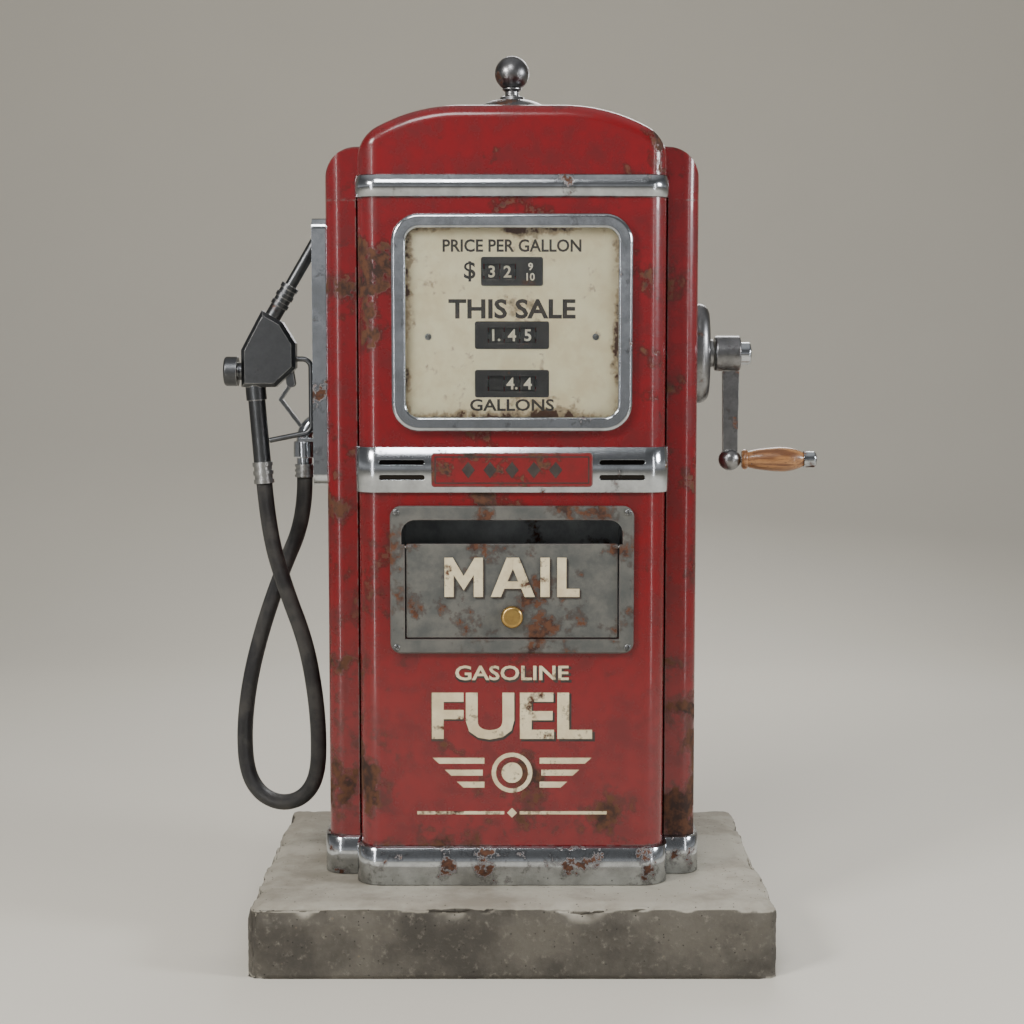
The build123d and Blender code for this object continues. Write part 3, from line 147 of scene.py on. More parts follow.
# %% The hose's route
hose_route = [
    (-0.4645, -0.0500, 0.851),
    (-0.4570, -0.0500, 0.757),
    (-0.4270, -0.0500, 0.652),
    (-0.3900, -0.0495, 0.552),
    (-0.3730, -0.0470, 0.454),
    (-0.3670, -0.0420, 0.366),
    (-0.3710, -0.0350, 0.290),
    (-0.3970, -0.0260, 0.246),
    (-0.4410, -0.0160, 0.230),
    (-0.4850, -0.0050, 0.246),
    (-0.5120, 0.0060, 0.288),
    (-0.5180, 0.0170, 0.366),
    (-0.5080, 0.0260, 0.462),
    (-0.4820, 0.0320, 0.566),
    (-0.4450, 0.0350, 0.672),
    (-0.3980, 0.0350, 0.780),
    (-0.3980, 0.0350, 0.857),
]
hose_radius, ring_step = 0.015, 0.006


def smooth_line(points, resolution=14):
    """Points along an order-3 NURBS curve that starts and ends on the given points."""
    data = bpy.data.curves.new("route", "CURVE")
    data.dimensions = "3D"
    data.resolution_u = resolution
    spline = data.splines.new("NURBS")
    spline.points.add(len(points) - 1)
    for place, point in zip(spline.points, points):
        place.co = (*point, 1.0)
    spline.order_u = 3
    spline.use_endpoint_u = True
    holder = bpy.data.objects.new("route", data)
    line = bpy.data.meshes.new_from_object(holder)
    found = [vertex.co.copy() for vertex in line.vertices]
    bpy.data.objects.remove(holder)
    bpy.data.meshes.remove(line)
    return found


def as_mesh(bm, name):
    """Writes a bmesh out as plain data and frees it."""
    data = bpy.data.meshes.new(name)
    bm.to_mesh(data)
    bm.free()
    return data


def swept_tube(name, line, radius, sides=28):
    """A closed tube round a line, and its length."""
    mesh = bmesh.new()
    along = mesh.loops.layers.uv.new("length")
    tangent = (line[1] - line[0]).normalized()
    across = tangent.orthogonal().normalized()
    rings, run = [], [0.0]
    for i, point in enumerate(line):
        after = line[min(i + 1, len(line) - 1)]
        before = line[max(i - 1, 0)]
        heading = (after - before).normalized()
        across = (across - heading * across.dot(heading)).normalized()
        side = heading.cross(across)
        ring = []
        for k in range(sides):
            turn = 2 * math.pi * k / sides
            ring.append(mesh.verts.new(point + (across * math.cos(turn) + side * math.sin(turn))
                                       * radius))
        rings.append(ring)
        if i:
            run.append(run[-1] + (point - line[i - 1]).length)
    for i in range(len(rings) - 1):
        for k in range(sides):
            after = (k + 1) % sides
            face = mesh.faces.new((rings[i][k], rings[i][after], rings[i + 1][after], rings[i + 1][k]))
            corners = ((k, i), (k + 1, i), (k + 1, i + 1), (k, i + 1))
            for loop, (u, v) in zip(face.loops, corners):
                loop[along].uv = (u / sides, run[v])
    mesh.faces.new(list(reversed(rings[0])))
    mesh.faces.new(rings[-1])
    bmesh.ops.recalc_face_normals(mesh, faces=mesh.faces)
    data = as_mesh(mesh, name)
    for face in data.polygons:
        face.use_smooth = len(face.vertices) == 4
    return link(bpy.data.objects.new(name, data)), run[-1]


def evenly(line, step):
    """The same line, walked in equal steps."""
    walked, left = [line[0]], step
    for start, end in zip(line, line[1:]):
        run, length = end - start, (end - start).length
        while length >= left > 0:
            walked.append(start + run * (left / run.length))
            left += step
        left -= length
    if (walked[-1] - line[-1]).length < step / 2:
        walked.pop()
    return walked + [line[-1]]


hose_line = smooth_line(hose_route)
hose, hose_length = swept_tube("fuel_hose", evenly(hose_line, ring_step), hose_radius)
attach(hose, "pump")
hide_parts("hose")
print("hose length", round(hose_length, 3), "points", len(hose_line))

# %% [markdown]
# ## A short way to write node trees
# Shader trees get long when every node and link takes three lines. These helpers add a node, set
# its properties, and for each input either set a value or link a socket.

# %% Helpers for node trees
def fill(tree, node, inputs):
    """Gives each input of a node a value, or links a socket to it."""
    for key, value in inputs.items():
        if isinstance(value, bpy.types.NodeSocket):
            tree.links.new(value, node.inputs[key])
        else:
            node.inputs[key].default_value = value
    return node


def put(tree, kind, inputs=None, **settings):
    """Adds a shader node; inputs maps a socket's name or number to a value or a socket."""
    node = tree.nodes.new("ShaderNode" + kind)
    for key, value in settings.items():
        setattr(node, key, value)
    return fill(tree, node, inputs or {})


def maths(tree, operation, first, second=0.0, clamp=False, third=0.0):
    """One Math node's output."""
    node = put(tree, "Math", {0: first, 1: second}, operation=operation, use_clamp=clamp)
    if operation == "MULTIPLY_ADD":
        node.inputs[2].default_value = third
    return node.outputs[0]


def times(tree, first, second, clamp=False):
    """Two values multiplied."""
    return maths(tree, "MULTIPLY", first, second, clamp)


def mixed(tree, factor, first, second):
    """A colour between two colours."""
    return put(tree, "Mix", {0: factor, 6: first, 7: second}, data_type="RGBA").outputs[2]


def ramp(tree, value, low, high, out_low=0.0, out_high=1.0):
    """A value smoothly mapped from one range to another and kept inside it."""
    return put(tree, "MapRange", {0: value, 1: low, 2: high, 3: out_low, 4: out_high},
               interpolation_type="SMOOTHSTEP").outputs[0]


def share(tree, value, low, high):
    """How far a value has come from low to high, from 0 to 1."""
    return put(tree, "MapRange", {0: value, 1: low, 2: high}).outputs[0]


def own_coords(tree):
    """Places in the piece's own metres."""
    return put(tree, "TexCoord").outputs["Object"]


def axes(tree, vector):
    """The X, Y and Z outputs of a vector."""
    return put(tree, "SeparateXYZ", {0: vector}).outputs


def cloudy(tree, vector, scale, detail, seed=None, **others):
    """A noise; a seed picks one of many like it."""
    inputs = {"Vector": vector, "Scale": scale, "Detail": detail, **others}
    if seed is None:
        return put(tree, "TexNoise", inputs).outputs[0]
    return put(tree, "TexNoise", {**inputs, "W": seed}, noise_dimensions="4D").outputs[0]


def group_tree(name, inputs, outputs):
    """A new shader node group with named float inputs and outputs."""
    tree = bpy.data.node_groups.new(name, "ShaderNodeTree")
    for label, value in inputs.items():
        socket = tree.interface.new_socket(label, in_out="INPUT", socket_type="NodeSocketFloat")
        socket.default_value = value
    for label in outputs:
        tree.interface.new_socket(label, in_out="OUTPUT", socket_type="NodeSocketFloat")
    return tree, tree.nodes.new("NodeGroupInput").outputs, tree.nodes.new("NodeGroupOutput")


def use_group(tree, group, inputs):
    """Places a shared group in a material with its own values, and gives its outputs."""
    node = tree.nodes.new("ShaderNodeGroup")
    node.node_tree = group
    return fill(tree, node, inputs).outputs


# %% [markdown]
# ## Effects that several finishes share
# Old metal wears in the same few ways: rust spreads in patches, paint goes at the edges first,
# fine pits and specks cover the rest, and dirt gathers low down. Each effect is one node group
# that puts out masks, so a material only decides what to do with them. The patches are two
# noises, a large one for the islands and a small one for their ragged rims.

# %% Patches of rust and dirt
patches, p_in, p_out = group_tree("rust_patches", {"Scale": 8.0, "Amount": 0.4, "Rim": 0.06, "Seed": 0.0},
                                  ["Patch", "Rim mask", "Grain"])
coords = own_coords(patches)
large = cloudy(patches, coords, p_in["Scale"], 6.0, p_in["Seed"], Roughness=0.62)
small_scale = times(patches, p_in["Scale"], 9.0)
small = cloudy(patches, coords, small_scale, 4.0, p_in["Seed"], Roughness=0.6)
island = maths(patches, "ADD", large, times(patches, small, 0.22))
edge = maths(patches, "SUBTRACT", 0.98, p_in["Amount"])
patch_mask = share(patches, island, edge, maths(patches, "ADD", edge, p_in["Rim"]))
halo = share(patches, island, maths(patches, "SUBTRACT", edge, p_in["Rim"]), edge)
fill(patches, p_out, {"Patch": patch_mask, "Grain": small,
                      "Rim mask": maths(patches, "SUBTRACT", halo, patch_mask, True)})

# %% [markdown]
# Worn edges need to know where the edges are. Comparing the true normal with one that has been
# rounded by the Bevel node finds every edge without help from the mesh, and a noise breaks the
# line up so that it looks knocked about, not drawn.

# %% Worn edges
worn, w_in, w_out = group_tree("worn_edges", {"Width": 0.004, "Breakup": 40.0, "Amount": 0.5}, ["Edge"])
rounded = put(worn, "Bevel", {"Radius": w_in["Width"]}, samples=4)
true_normal = put(worn, "NewGeometry").outputs["Normal"]
agree = put(worn, "VectorMath", {0: rounded.outputs[0], 1: true_normal}, operation="DOT_PRODUCT")
corner = share(worn, agree.outputs["Value"], 0.995, 0.86)
chips = cloudy(worn, own_coords(worn), w_in["Breakup"], 5.0)
chip_start = maths(worn, "SUBTRACT", 0.8, w_in["Amount"])
chip_mask = share(worn, chips, chip_start, maths(worn, "ADD", chip_start, 0.12))
fill(worn, w_out, {"Edge": times(worn, corner, chip_mask, True)})

# %% [markdown]
# Specks and pits are the finest scale: a Voronoi pattern whose cells are kept only where its
# own random colour says so. A slow noise beside it gives each finish its cloudy tone.

# %% Specks and pits
specks, s_in, s_out = group_tree("specks", {"Scale": 300.0, "Amount": 0.3}, ["Speck", "Tone"])
speck_coords = own_coords(specks)
cells = put(specks, "TexVoronoi", {"Vector": speck_coords, "Scale": s_in["Scale"]}).outputs
dot_size = times(specks, s_in["Amount"], 0.6)
dots = share(specks, cells["Distance"], dot_size, times(specks, dot_size, 0.5))
chance = put(specks, "SeparateColor", {0: cells["Color"]}).outputs[0]
kept = share(specks, chance, maths(specks, "SUBTRACT", 1.0, s_in["Amount"]), 1.0)
fill(specks, s_out, {"Speck": times(specks, dots, maths(specks, "GREATER_THAN", kept, 0.05)),
                     "Tone": cloudy(specks, speck_coords, 22.0, 8.0, Roughness=0.7)})

# %% [markdown]
# Sheet metal on a casing rusts where water stands: low down, at the outer corners, and in a few
# blots elsewhere. This group turns a place into such a likelihood, from the height above the
# floor and the distance from the middle, both in metres.

# %% Where the water stands
damp, d_in, d_out = group_tree("damp_places", {"Low": 0.2, "High": 0.5, "Inner": 0.22, "Outer": 0.34},
                               ["Damp"])
place = axes(damp, own_coords(damp))
low_down = share(damp, place["Z"], d_in["High"], d_in["Low"])
aside = share(damp, maths(damp, "ABSOLUTE", place["X"]), d_in["Inner"], d_in["Outer"])
fill(damp, d_out, {"Damp": maths(damp, "ADD", times(damp, low_down, 0.6), times(damp, aside, 0.5), True)})
print("shared effects", [tree.name for tree in (patches, worn, specks, damp)])

# %% [markdown]
# ## Paint and enamel
# Every painted piece is the same story: a gloss coat that has faded unevenly, rust that has
# broken through in patches with a stained halo, and bare metal along the edges. One function
# tells it, and each finish gives its colours and how far the wear has gone.

# %% Paint
materials = {}
rust_dark, rust_light = (0.028, 0.012, 0.008, 1), (0.098, 0.036, 0.015, 1)


def new_material(name):
    """An empty material, its tree and its Principled shader, filed under its name."""
    material = bpy.data.materials.new(name)
    material.use_nodes = True
    materials[name] = material
    return material.node_tree, material.node_tree.nodes["Principled BSDF"]


def bumped(tree, height, strength, distance, rounding=0.0):
    """A normal from a height, over edges that read as rounded off by rounding."""
    bump = put(tree, "Bump", {"Strength": strength, "Distance": distance, "Height": height})
    if rounding:
        soft = put(tree, "Bevel", {"Radius": rounding}, samples=4)
        tree.links.new(soft.outputs[0], bump.inputs["Normal"])
    return bump.outputs[0]


def rusted(tree, colour, broken, low=0.4, high=0.62, dark=rust_dark):
    """A colour with rust in its broken patches, darker and lighter by their grain."""
    rusty = mixed(tree, ramp(tree, broken["Grain"], low, high), dark, rust_light)
    return mixed(tree, broken["Patch"], colour, rusty)


def painted(name, paint, faded, gloss=0.28, rust=0.3, damp_rust=0.12, edge=0.3, scale=7.0, seed=0.0,
            reach=(0.2, 0.5, 0.22, 0.34), bare=(0.12, 0.10, 0.09, 1), coat=0.35):
    """Worn gloss paint over steel."""
    tree, shader = new_material(name)
    wet = use_group(tree, damp, dict(zip(("Low", "High", "Inner", "Outer"), reach)))
    amount = maths(tree, "MULTIPLY_ADD", wet[0], damp_rust, third=rust)
    broken = use_group(tree, patches, {"Scale": scale, "Amount": amount, "Rim": 0.035, "Seed": seed})
    edges = use_group(tree, worn, {"Width": 0.005, "Breakup": 55.0, "Amount": edge})[0]
    dotted = use_group(tree, specks, {"Scale": 170.0, "Amount": 0.12})
    fade = ramp(tree, dotted["Tone"], 0.35, 0.68)
    colour = mixed(tree, fade, paint, faded)
    colour = mixed(tree, times(tree, broken["Rim mask"], 0.55), colour, rust_dark)
    colour = mixed(tree, times(tree, dotted["Speck"], 0.7), colour, rust_dark)
    colour = mixed(tree, edges, colour, bare)
    rough = maths(tree, "MULTIPLY_ADD", fade, 0.10, third=gloss)
    rough = maths(tree, "MAXIMUM", rough, times(tree, broken["Patch"], 0.82))
    rough = maths(tree, "MAXIMUM", rough, times(tree, edges, 0.55))
    height = times(tree, broken["Patch"], maths(tree, "SUBTRACT", broken["Grain"], 1.1))
    height = maths(tree, "SUBTRACT", height, times(tree, edges, 0.5))
    fill(tree, shader, {
        "Base Color": rusted(tree, colour, broken), "Roughness": rough,
        "Coat Weight": maths(tree, "SUBTRACT", coat, times(tree, broken["Patch"], coat), True),
        "Normal": bumped(tree, height, 0.7, 0.0007, 0.0015)})


painted("red_paint", (0.185, 0.0055, 0.0085, 1), (0.120, 0.0070, 0.0085, 1), gloss=0.22, rust=0.265,
        damp_rust=0.125, edge=0.38, coat=0.4)
painted("plate_red", (0.20, 0.012, 0.014, 1), (0.14, 0.012, 0.012, 1), rust=0.30, damp_rust=0.0,
        edge=0.42, scale=16.0, seed=4.0)
painted("mail_grey", (0.070, 0.074, 0.070, 1), (0.125, 0.122, 0.108, 1), gloss=0.42, rust=0.30,
        damp_rust=0.04, edge=0.42, scale=9.0, seed=7.0, reach=(0.56, 0.7, 0.1, 0.22), coat=0.1)
painted("casting_green", (0.035, 0.055, 0.045, 1), (0.05, 0.07, 0.06, 1), gloss=0.45, rust=0.33,
        damp_rust=0.06, edge=0.35, scale=12.0, seed=11.0, coat=0.1)
painted("window_black", (0.012, 0.012, 0.013, 1), (0.03, 0.029, 0.027, 1), gloss=0.4, rust=0.25,
        damp_rust=0.0, edge=0.3, scale=30.0, seed=2.0, coat=0.1)

# %% [markdown]
# ## The dial's cream enamel
# The dial face rusts inwards from its rim, because damp creeps in behind the bezel. The
# likelihood of rust is therefore the distance to the nearest edge of the glass, worked out from
# the glass's own box, so it stays right if the dial changes size.

# %% Cream enamel with a rusted rim
def middle_of(box):
    """The middle of a box given by its two corners."""
    return [(low + high) / 2 for low, high in zip(*box)]


def half_of(box):
    """Half a box's size along each axis."""
    return [(high - low) / 2 for low, high in zip(*box)]


rust_reach, rust_full = 0.027, 0.002
glass_middle, glass_half = middle_of(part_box("dial_glass")), half_of(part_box("dial_glass"))
tree, shader = new_material("dial_cream")
spot = axes(tree, own_coords(tree))


def inside(axis, number):
    """How far a place is inside the glass along one axis."""
    offset = maths(tree, "ABSOLUTE", maths(tree, "SUBTRACT", spot[axis], glass_middle[number]))
    return maths(tree, "SUBTRACT", glass_half[number], offset)


near_rim = ramp(tree, maths(tree, "MINIMUM", inside("X", 0), inside("Z", 2)), rust_reach, rust_full)
amount = maths(tree, "MULTIPLY_ADD", near_rim, 0.150, third=0.255)
broken = use_group(tree, patches, {"Scale": 13.0, "Amount": amount, "Rim": 0.05, "Seed": 5.5})
dotted = use_group(tree, specks, {"Scale": 210.0, "Amount": 0.14})
colour = mixed(tree, ramp(tree, dotted["Tone"], 0.38, 0.66), (0.96, 0.87, 0.60, 1), (0.86, 0.74, 0.47, 1))
colour = mixed(tree, times(tree, near_rim, 0.35), colour, (0.42, 0.27, 0.11, 1))
colour = mixed(tree, times(tree, broken["Rim mask"], 0.6), colour, (0.30, 0.14, 0.05, 1))
colour = mixed(tree, times(tree, dotted["Speck"], 0.8), colour, (0.16, 0.07, 0.03, 1))
fill(tree, shader, {
    "Base Color": rusted(tree, colour, broken, 0.42, 0.6, (0.09, 0.035, 0.015, 1)),
    "Roughness": ramp(tree, broken["Patch"], 0, 1, 0.34, 0.85),
    "Normal": bumped(tree, times(tree, broken["Patch"], -1.0), 0.6, 0.0006)})

# %% [markdown]
# ## Metals
# Chrome is a mirror that has clouded a little and spotted with rust; gunmetal and bright steel
# are the same recipe with a rougher, darker base. A fine noise stretched along one direction
# gives the brushed look of turned and drawn parts. The bands are pressed to a round section, so
# theirs swells in the middle, and the grooves behind their ribs are darkened as painted shade.

# %% Metals
def in_grooves(tree, coords, front, wide, middle, half):
    """Where a band's front is sunk behind its ribs: the mask for the painted shade in its grooves."""
    spot = axes(tree, coords)
    sunk = ramp(tree, spot["Y"], front + 0.0010, front + 0.0022)
    within = maths(tree, "LESS_THAN", maths(tree, "ABSOLUTE", spot["X"]), wide)
    within = times(tree, within, maths(tree, "LESS_THAN", spot["Y"], front + 0.005))
    level = maths(tree, "ABSOLUTE", maths(tree, "SUBTRACT", spot["Z"], middle))
    return times(tree, sunk, times(tree, within, maths(tree, "LESS_THAN", level, half)))


def swollen(tree, coords, normal, middle, half, rise):
    """A normal that bows a band's flat face out by rise."""
    across = maths(tree, "DIVIDE", maths(tree, "SUBTRACT", axes(tree, coords)["Z"], middle), half)
    round_face = maths(tree, "SUBTRACT", 1.0, times(tree, across, across), True)
    return put(tree, "Bump", {"Strength": 1.0, "Distance": rise, "Height": round_face,
                              "Normal": normal}).outputs[0]


def metal(name, tone, dull, rough, rough_spread=0.12, rust=0.22, damp_rust=0.05, grain=60.0,
          stretch=(1.0, 1.0, 0.12), scale=14.0, seed=1.0, edge=0.0, edge_tone=(0.5, 0.5, 0.5, 1),
          dents=0.05, moulded=None, grooved=None):
    """Bare or plated metal with clouding, brushing and rust spots."""
    tree, shader = new_material(name)
    amount = maths(tree, "MULTIPLY_ADD", use_group(tree, damp, {})[0], damp_rust, third=rust)
    broken = use_group(tree, patches, {"Scale": scale, "Amount": amount, "Rim": 0.04, "Seed": seed})
    dotted = use_group(tree, specks, {"Scale": 260.0, "Amount": 0.10})
    coords = own_coords(tree)
    along = put(tree, "Mapping", {"Vector": coords, "Scale": stretch}).outputs[0]
    lines = cloudy(tree, along, grain * 10, 3.0)
    cloud = ramp(tree, dotted["Tone"], 0.3, 0.7)
    colour = mixed(tree, cloud, tone, dull)
    if edge:
        rubbed = use_group(tree, worn, {"Width": 0.003, "Breakup": 80.0, "Amount": edge})[0]
        colour = mixed(tree, rubbed, colour, edge_tone)
    colour = mixed(tree, times(tree, broken["Rim mask"], 0.4), colour, rust_dark)
    colour = mixed(tree, dotted["Speck"], colour, rust_dark)
    colour = rusted(tree, colour, broken)
    if grooved:
        # Painted shade: the sunk faces between the ribs are darkened where shade falls in the grooves.
        colour = mixed(tree, in_grooves(tree, coords, *grooved), colour, (0.025, 0.022, 0.020, 1))
    clouded = times(tree, maths(tree, "ADD", cloud, lines), rough_spread / 1.5)
    clouded = maths(tree, "ADD", clouded, rough)
    height = maths(tree, "SUBTRACT", times(tree, lines, dents), times(tree, broken["Patch"], 0.6))
    normal = bumped(tree, height, 0.5, 0.0005, 0.0012)
    fill(tree, shader, {
        "Base Color": colour, "Metallic": maths(tree, "SUBTRACT", 1.0, broken["Patch"], True),
        "Roughness": maths(tree, "MAXIMUM", clouded, times(tree, broken["Patch"], 0.8)),
        "Normal": swollen(tree, coords, normal, *moulded) if moulded else normal})


chrome = {"tone": (0.60, 0.63, 0.66, 1), "dull": (0.40, 0.42, 0.44, 1), "rough": 0.07, "rust": 0.25,
          "damp_rust": 0.06}
rib_reach, band_rim = 0.237, 0.002
metal("aged_chrome", **chrome)
for band, rise in (("crown_band", 0.008), ("middle_band", 0.010), ("skirt", 0.010)):
    band_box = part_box(band)
    level, half = middle_of(band_box)[2], half_of(band_box)[2]
    metal("moulded_" + band, **chrome, moulded=(level, half, rise),
          grooved=(band_box[0][1], rib_reach, level, half - band_rim))
metal("gunmetal", (0.115, 0.12, 0.125, 1), (0.07, 0.072, 0.076, 1), 0.28, rust=0.20, damp_rust=0.0,
      edge=0.45, edge_tone=(0.42, 0.42, 0.41, 1), seed=3.0, dents=0.12)
metal("crank_steel", (0.30, 0.30, 0.30, 1), (0.16, 0.16, 0.165, 1), 0.24, rust=0.27, damp_rust=0.0,
      edge=0.4, edge_tone=(0.6, 0.6, 0.58, 1), seed=6.0, dents=0.12)
metal("bright_steel", (0.52, 0.52, 0.51, 1), (0.36, 0.36, 0.35, 1), 0.26, rust=0.24, damp_rust=0.0,
      seed=8.0)
metal("zinc", (0.42, 0.44, 0.44, 1), (0.27, 0.28, 0.29, 1), 0.42, rust=0.28, damp_rust=0.03, seed=9.0,
      stretch=(1.0, 1.0, 1.0), grain=6.0, dents=0.3)
metal("aged_brass", (0.62, 0.42, 0.14, 1), (0.36, 0.22, 0.08, 1), 0.24, rust=0.18, damp_rust=0.0, seed=2.5)
print("finishes so far", len(materials))

# %% [markdown]
# ## Concrete, glass, rubber and wood
# Concrete is painted pale where it faces up and dark on its sides, as painted light and shade
# for light from above, with stains, stones, and air holes darkened as painted shade. Glass stays
# plain. Rubber is ribbed by its wrapping, so its bands follow the hose's own length. Wood shows
# growth rings stretched along the turned grip.

# %% Concrete
tree, shader = new_material("old_concrete")
coords = own_coords(tree)
painted_top_light = ramp(tree, axes(tree, put(tree, "NewGeometry").outputs["Normal"])["Z"], 0.35, 0.8)
dotted = use_group(tree, specks, {"Scale": 120.0, "Amount": 0.30})
stones = use_group(tree, specks, {"Scale": 45.0, "Amount": 0.20})
stain = cloudy(tree, coords, 4.5, 8.0, Roughness=0.65)
fine = cloudy(tree, coords, 60.0, 8.0, Roughness=0.7)
# Painted light and shade: faces that turn up take the pale top colour and the sides the dark one, as light
# from above falls on them; the stain noise varies both.
side = mixed(tree, ramp(tree, stain, 0.38, 0.62), (0.055, 0.049, 0.040, 1), (0.125, 0.113, 0.092, 1))
top = mixed(tree, ramp(tree, stain, 0.4, 0.62), (0.27, 0.245, 0.195, 1), (0.42, 0.395, 0.325, 1))
colour = mixed(tree, painted_top_light, side, top)
colour = mixed(tree, ramp(tree, fine, 0.52, 0.95), colour, (0.36, 0.33, 0.27, 1))
colour = mixed(tree, times(tree, stones["Speck"], 0.5), colour, (0.20, 0.15, 0.10, 1))
# Painted shade: the air holes are darkened where shade falls in them; the bump below also sinks them.
colour = mixed(tree, dotted["Speck"], colour, (0.03, 0.026, 0.02, 1))
fill(tree, shader, {"Base Color": colour, "Roughness": 0.9, "Normal": bumped(
    tree, maths(tree, "SUBTRACT", fine, dotted["Speck"]), 0.8, 0.003)})

# %% Glass and rubber
tree, shader = new_material("dial_glass_clear")
fill(tree, shader, {"Base Color": (0.97, 0.985, 0.97, 1), "Roughness": 0.02, "IOR": 1.45,
                    "Transmission Weight": 1.0})

tree, shader = new_material("ribbed_rubber")
length = axes(tree, put(tree, "UVMap", uv_map="length").outputs[0])["X"]
band = maths(tree, "SINE", times(tree, length, 900.0))
dotted = use_group(tree, specks, {"Scale": 150.0, "Amount": 0.15})
dusty = mixed(tree, ramp(tree, dotted["Tone"], 0.4, 0.66), (0.013, 0.013, 0.014, 1), (0.045, 0.042, 0.038, 1))
dusty = mixed(tree, times(tree, dotted["Speck"], 0.5), dusty, (0.10, 0.075, 0.05, 1))
fill(tree, shader, {"Base Color": dusty, "Roughness": ramp(tree, dotted["Tone"], 0.35, 0.7, 0.36, 0.62),
                    "Normal": bumped(tree, band, 0.35, 0.0006)})

tree, shader = new_material("belt_rubber")
worn_tone = use_group(tree, specks, {"Scale": 200.0, "Amount": 0.2})["Tone"]
fill(tree, shader, {"Base Color": mixed(tree, worn_tone, (0.010, 0.010, 0.011, 1), (0.035, 0.033, 0.030, 1)),
                    "Roughness": 0.7, "Normal": bumped(tree, worn_tone, 0.4, 0.0004)})

# %% Wood and the studio's ground
tree, shader = new_material("turned_wood")
warped = put(tree, "Mapping", {"Vector": own_coords(tree), "Scale": (9.0, 90.0, 90.0)}).outputs[0]
grain = cloudy(tree, warped, 1.0, 6.0, Distortion=0.8)
pores = cloudy(tree, warped, 9.0, 3.0)
colour = mixed(tree, ramp(tree, grain, 0.36, 0.64), (0.135, 0.052, 0.018, 1), (0.36, 0.17, 0.062, 1))
colour = mixed(tree, ramp(tree, pores, 0.56, 0.72), colour, (0.06, 0.022, 0.009, 1))
rubbed = use_group(tree, worn, {"Width": 0.003, "Breakup": 60.0, "Amount": 0.3})[0]
fill(tree, shader, {"Base Color": mixed(tree, rubbed, colour, (0.42, 0.24, 0.11, 1)), "Roughness": 0.38,
                    "Coat Weight": 0.3, "Normal": bumped(tree, pores, 0.25, 0.0004)})

tree, shader = new_material("studio_ground")
tone = cloudy(tree, own_coords(tree), 2.0, 6.0)
fill(tree, shader, {"Base Color": mixed(tree, tone, (0.70, 0.665, 0.58, 1), (0.73, 0.695, 0.61, 1)),
                    "Roughness": 0.8})
floor.data.materials.append(materials["studio_ground"])
print("finishes", len(materials))

# %% [markdown]
# ## Each CAD piece gets its finish
# The record's material slots say what each piece is made of, so one table dresses them all.
# A few pieces have a finish of their own, such as the crank, whose steel has been polished by
# hands.

# %% Finishes on the CAD pieces
slot_finish = {"concrete": "old_concrete", "red_enamel": "red_paint", "chrome_trim": "aged_chrome",
               "grey_enamel": "mail_grey", "dial_enamel": "dial_cream", "black_enamel": "window_black",
               "clear_glass": "dial_glass_clear", "dark_steel": "gunmetal", "bright_steel": "bright_steel",
               "galvanised": "zinc", "cast_housing": "casting_green", "brass_knob": "aged_brass",
               "hose_rubber": "ribbed_rubber", "drive_rubber": "belt_rubber", "grip_wood": "turned_wood"}
own_finish = {"band_plate": "plate_red", "crank_arm": "crank_steel", "crank_plate": "crank_steel",
              "finial_ball": "crank_steel", "finial_base": "crank_steel",
              "crown_band": "moulded_crown_band", "middle_band": "moulded_middle_band",
              "skirt": "moulded_skirt"}
for name, node in frame["nodes"].items():
    finish = materials[own_finish.get(name, slot_finish[node_slot[name]])]
    node.data.materials.clear()
    node.data.materials.append(finish)
hose.data.materials.clear()
hose.data.materials.append(materials["ribbed_rubber"])
print("dressed", len(frame["nodes"]), "pieces")

# %% [markdown]
# ## The concrete slab
# A cast slab loses its corners first. The CAD slab is turned into an even mesh, and each point
# moves inwards: a little all over for the trowel marks, and a lot near the upper and outer
# edges, where the noise makes chips. The underside stays flat, because the slab stands on it,
# and the hole for the supply pipe keeps its size. The normals are read before any point moves,
# because reading one afterwards works them all out again.

# %% Slab with chipped edges
def placed(name, mesh, finish, body, replaces=None):
    """Puts a finished mesh into the scene as a piece that rides its body."""
    obj = link(bpy.data.objects.new(name, mesh))
    mesh.materials.clear()
    mesh.materials.append(materials[finish])
    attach(obj, body)
    if replaces:
        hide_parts(replaces)
    return obj


def evaluated(obj, name):
    """The mesh that an object's modifiers make, as plain data."""
    mesh = bpy.data.meshes.new_from_object(obj.evaluated_get(bpy.context.evaluated_depsgraph_get()))
    mesh.name = name
    return mesh


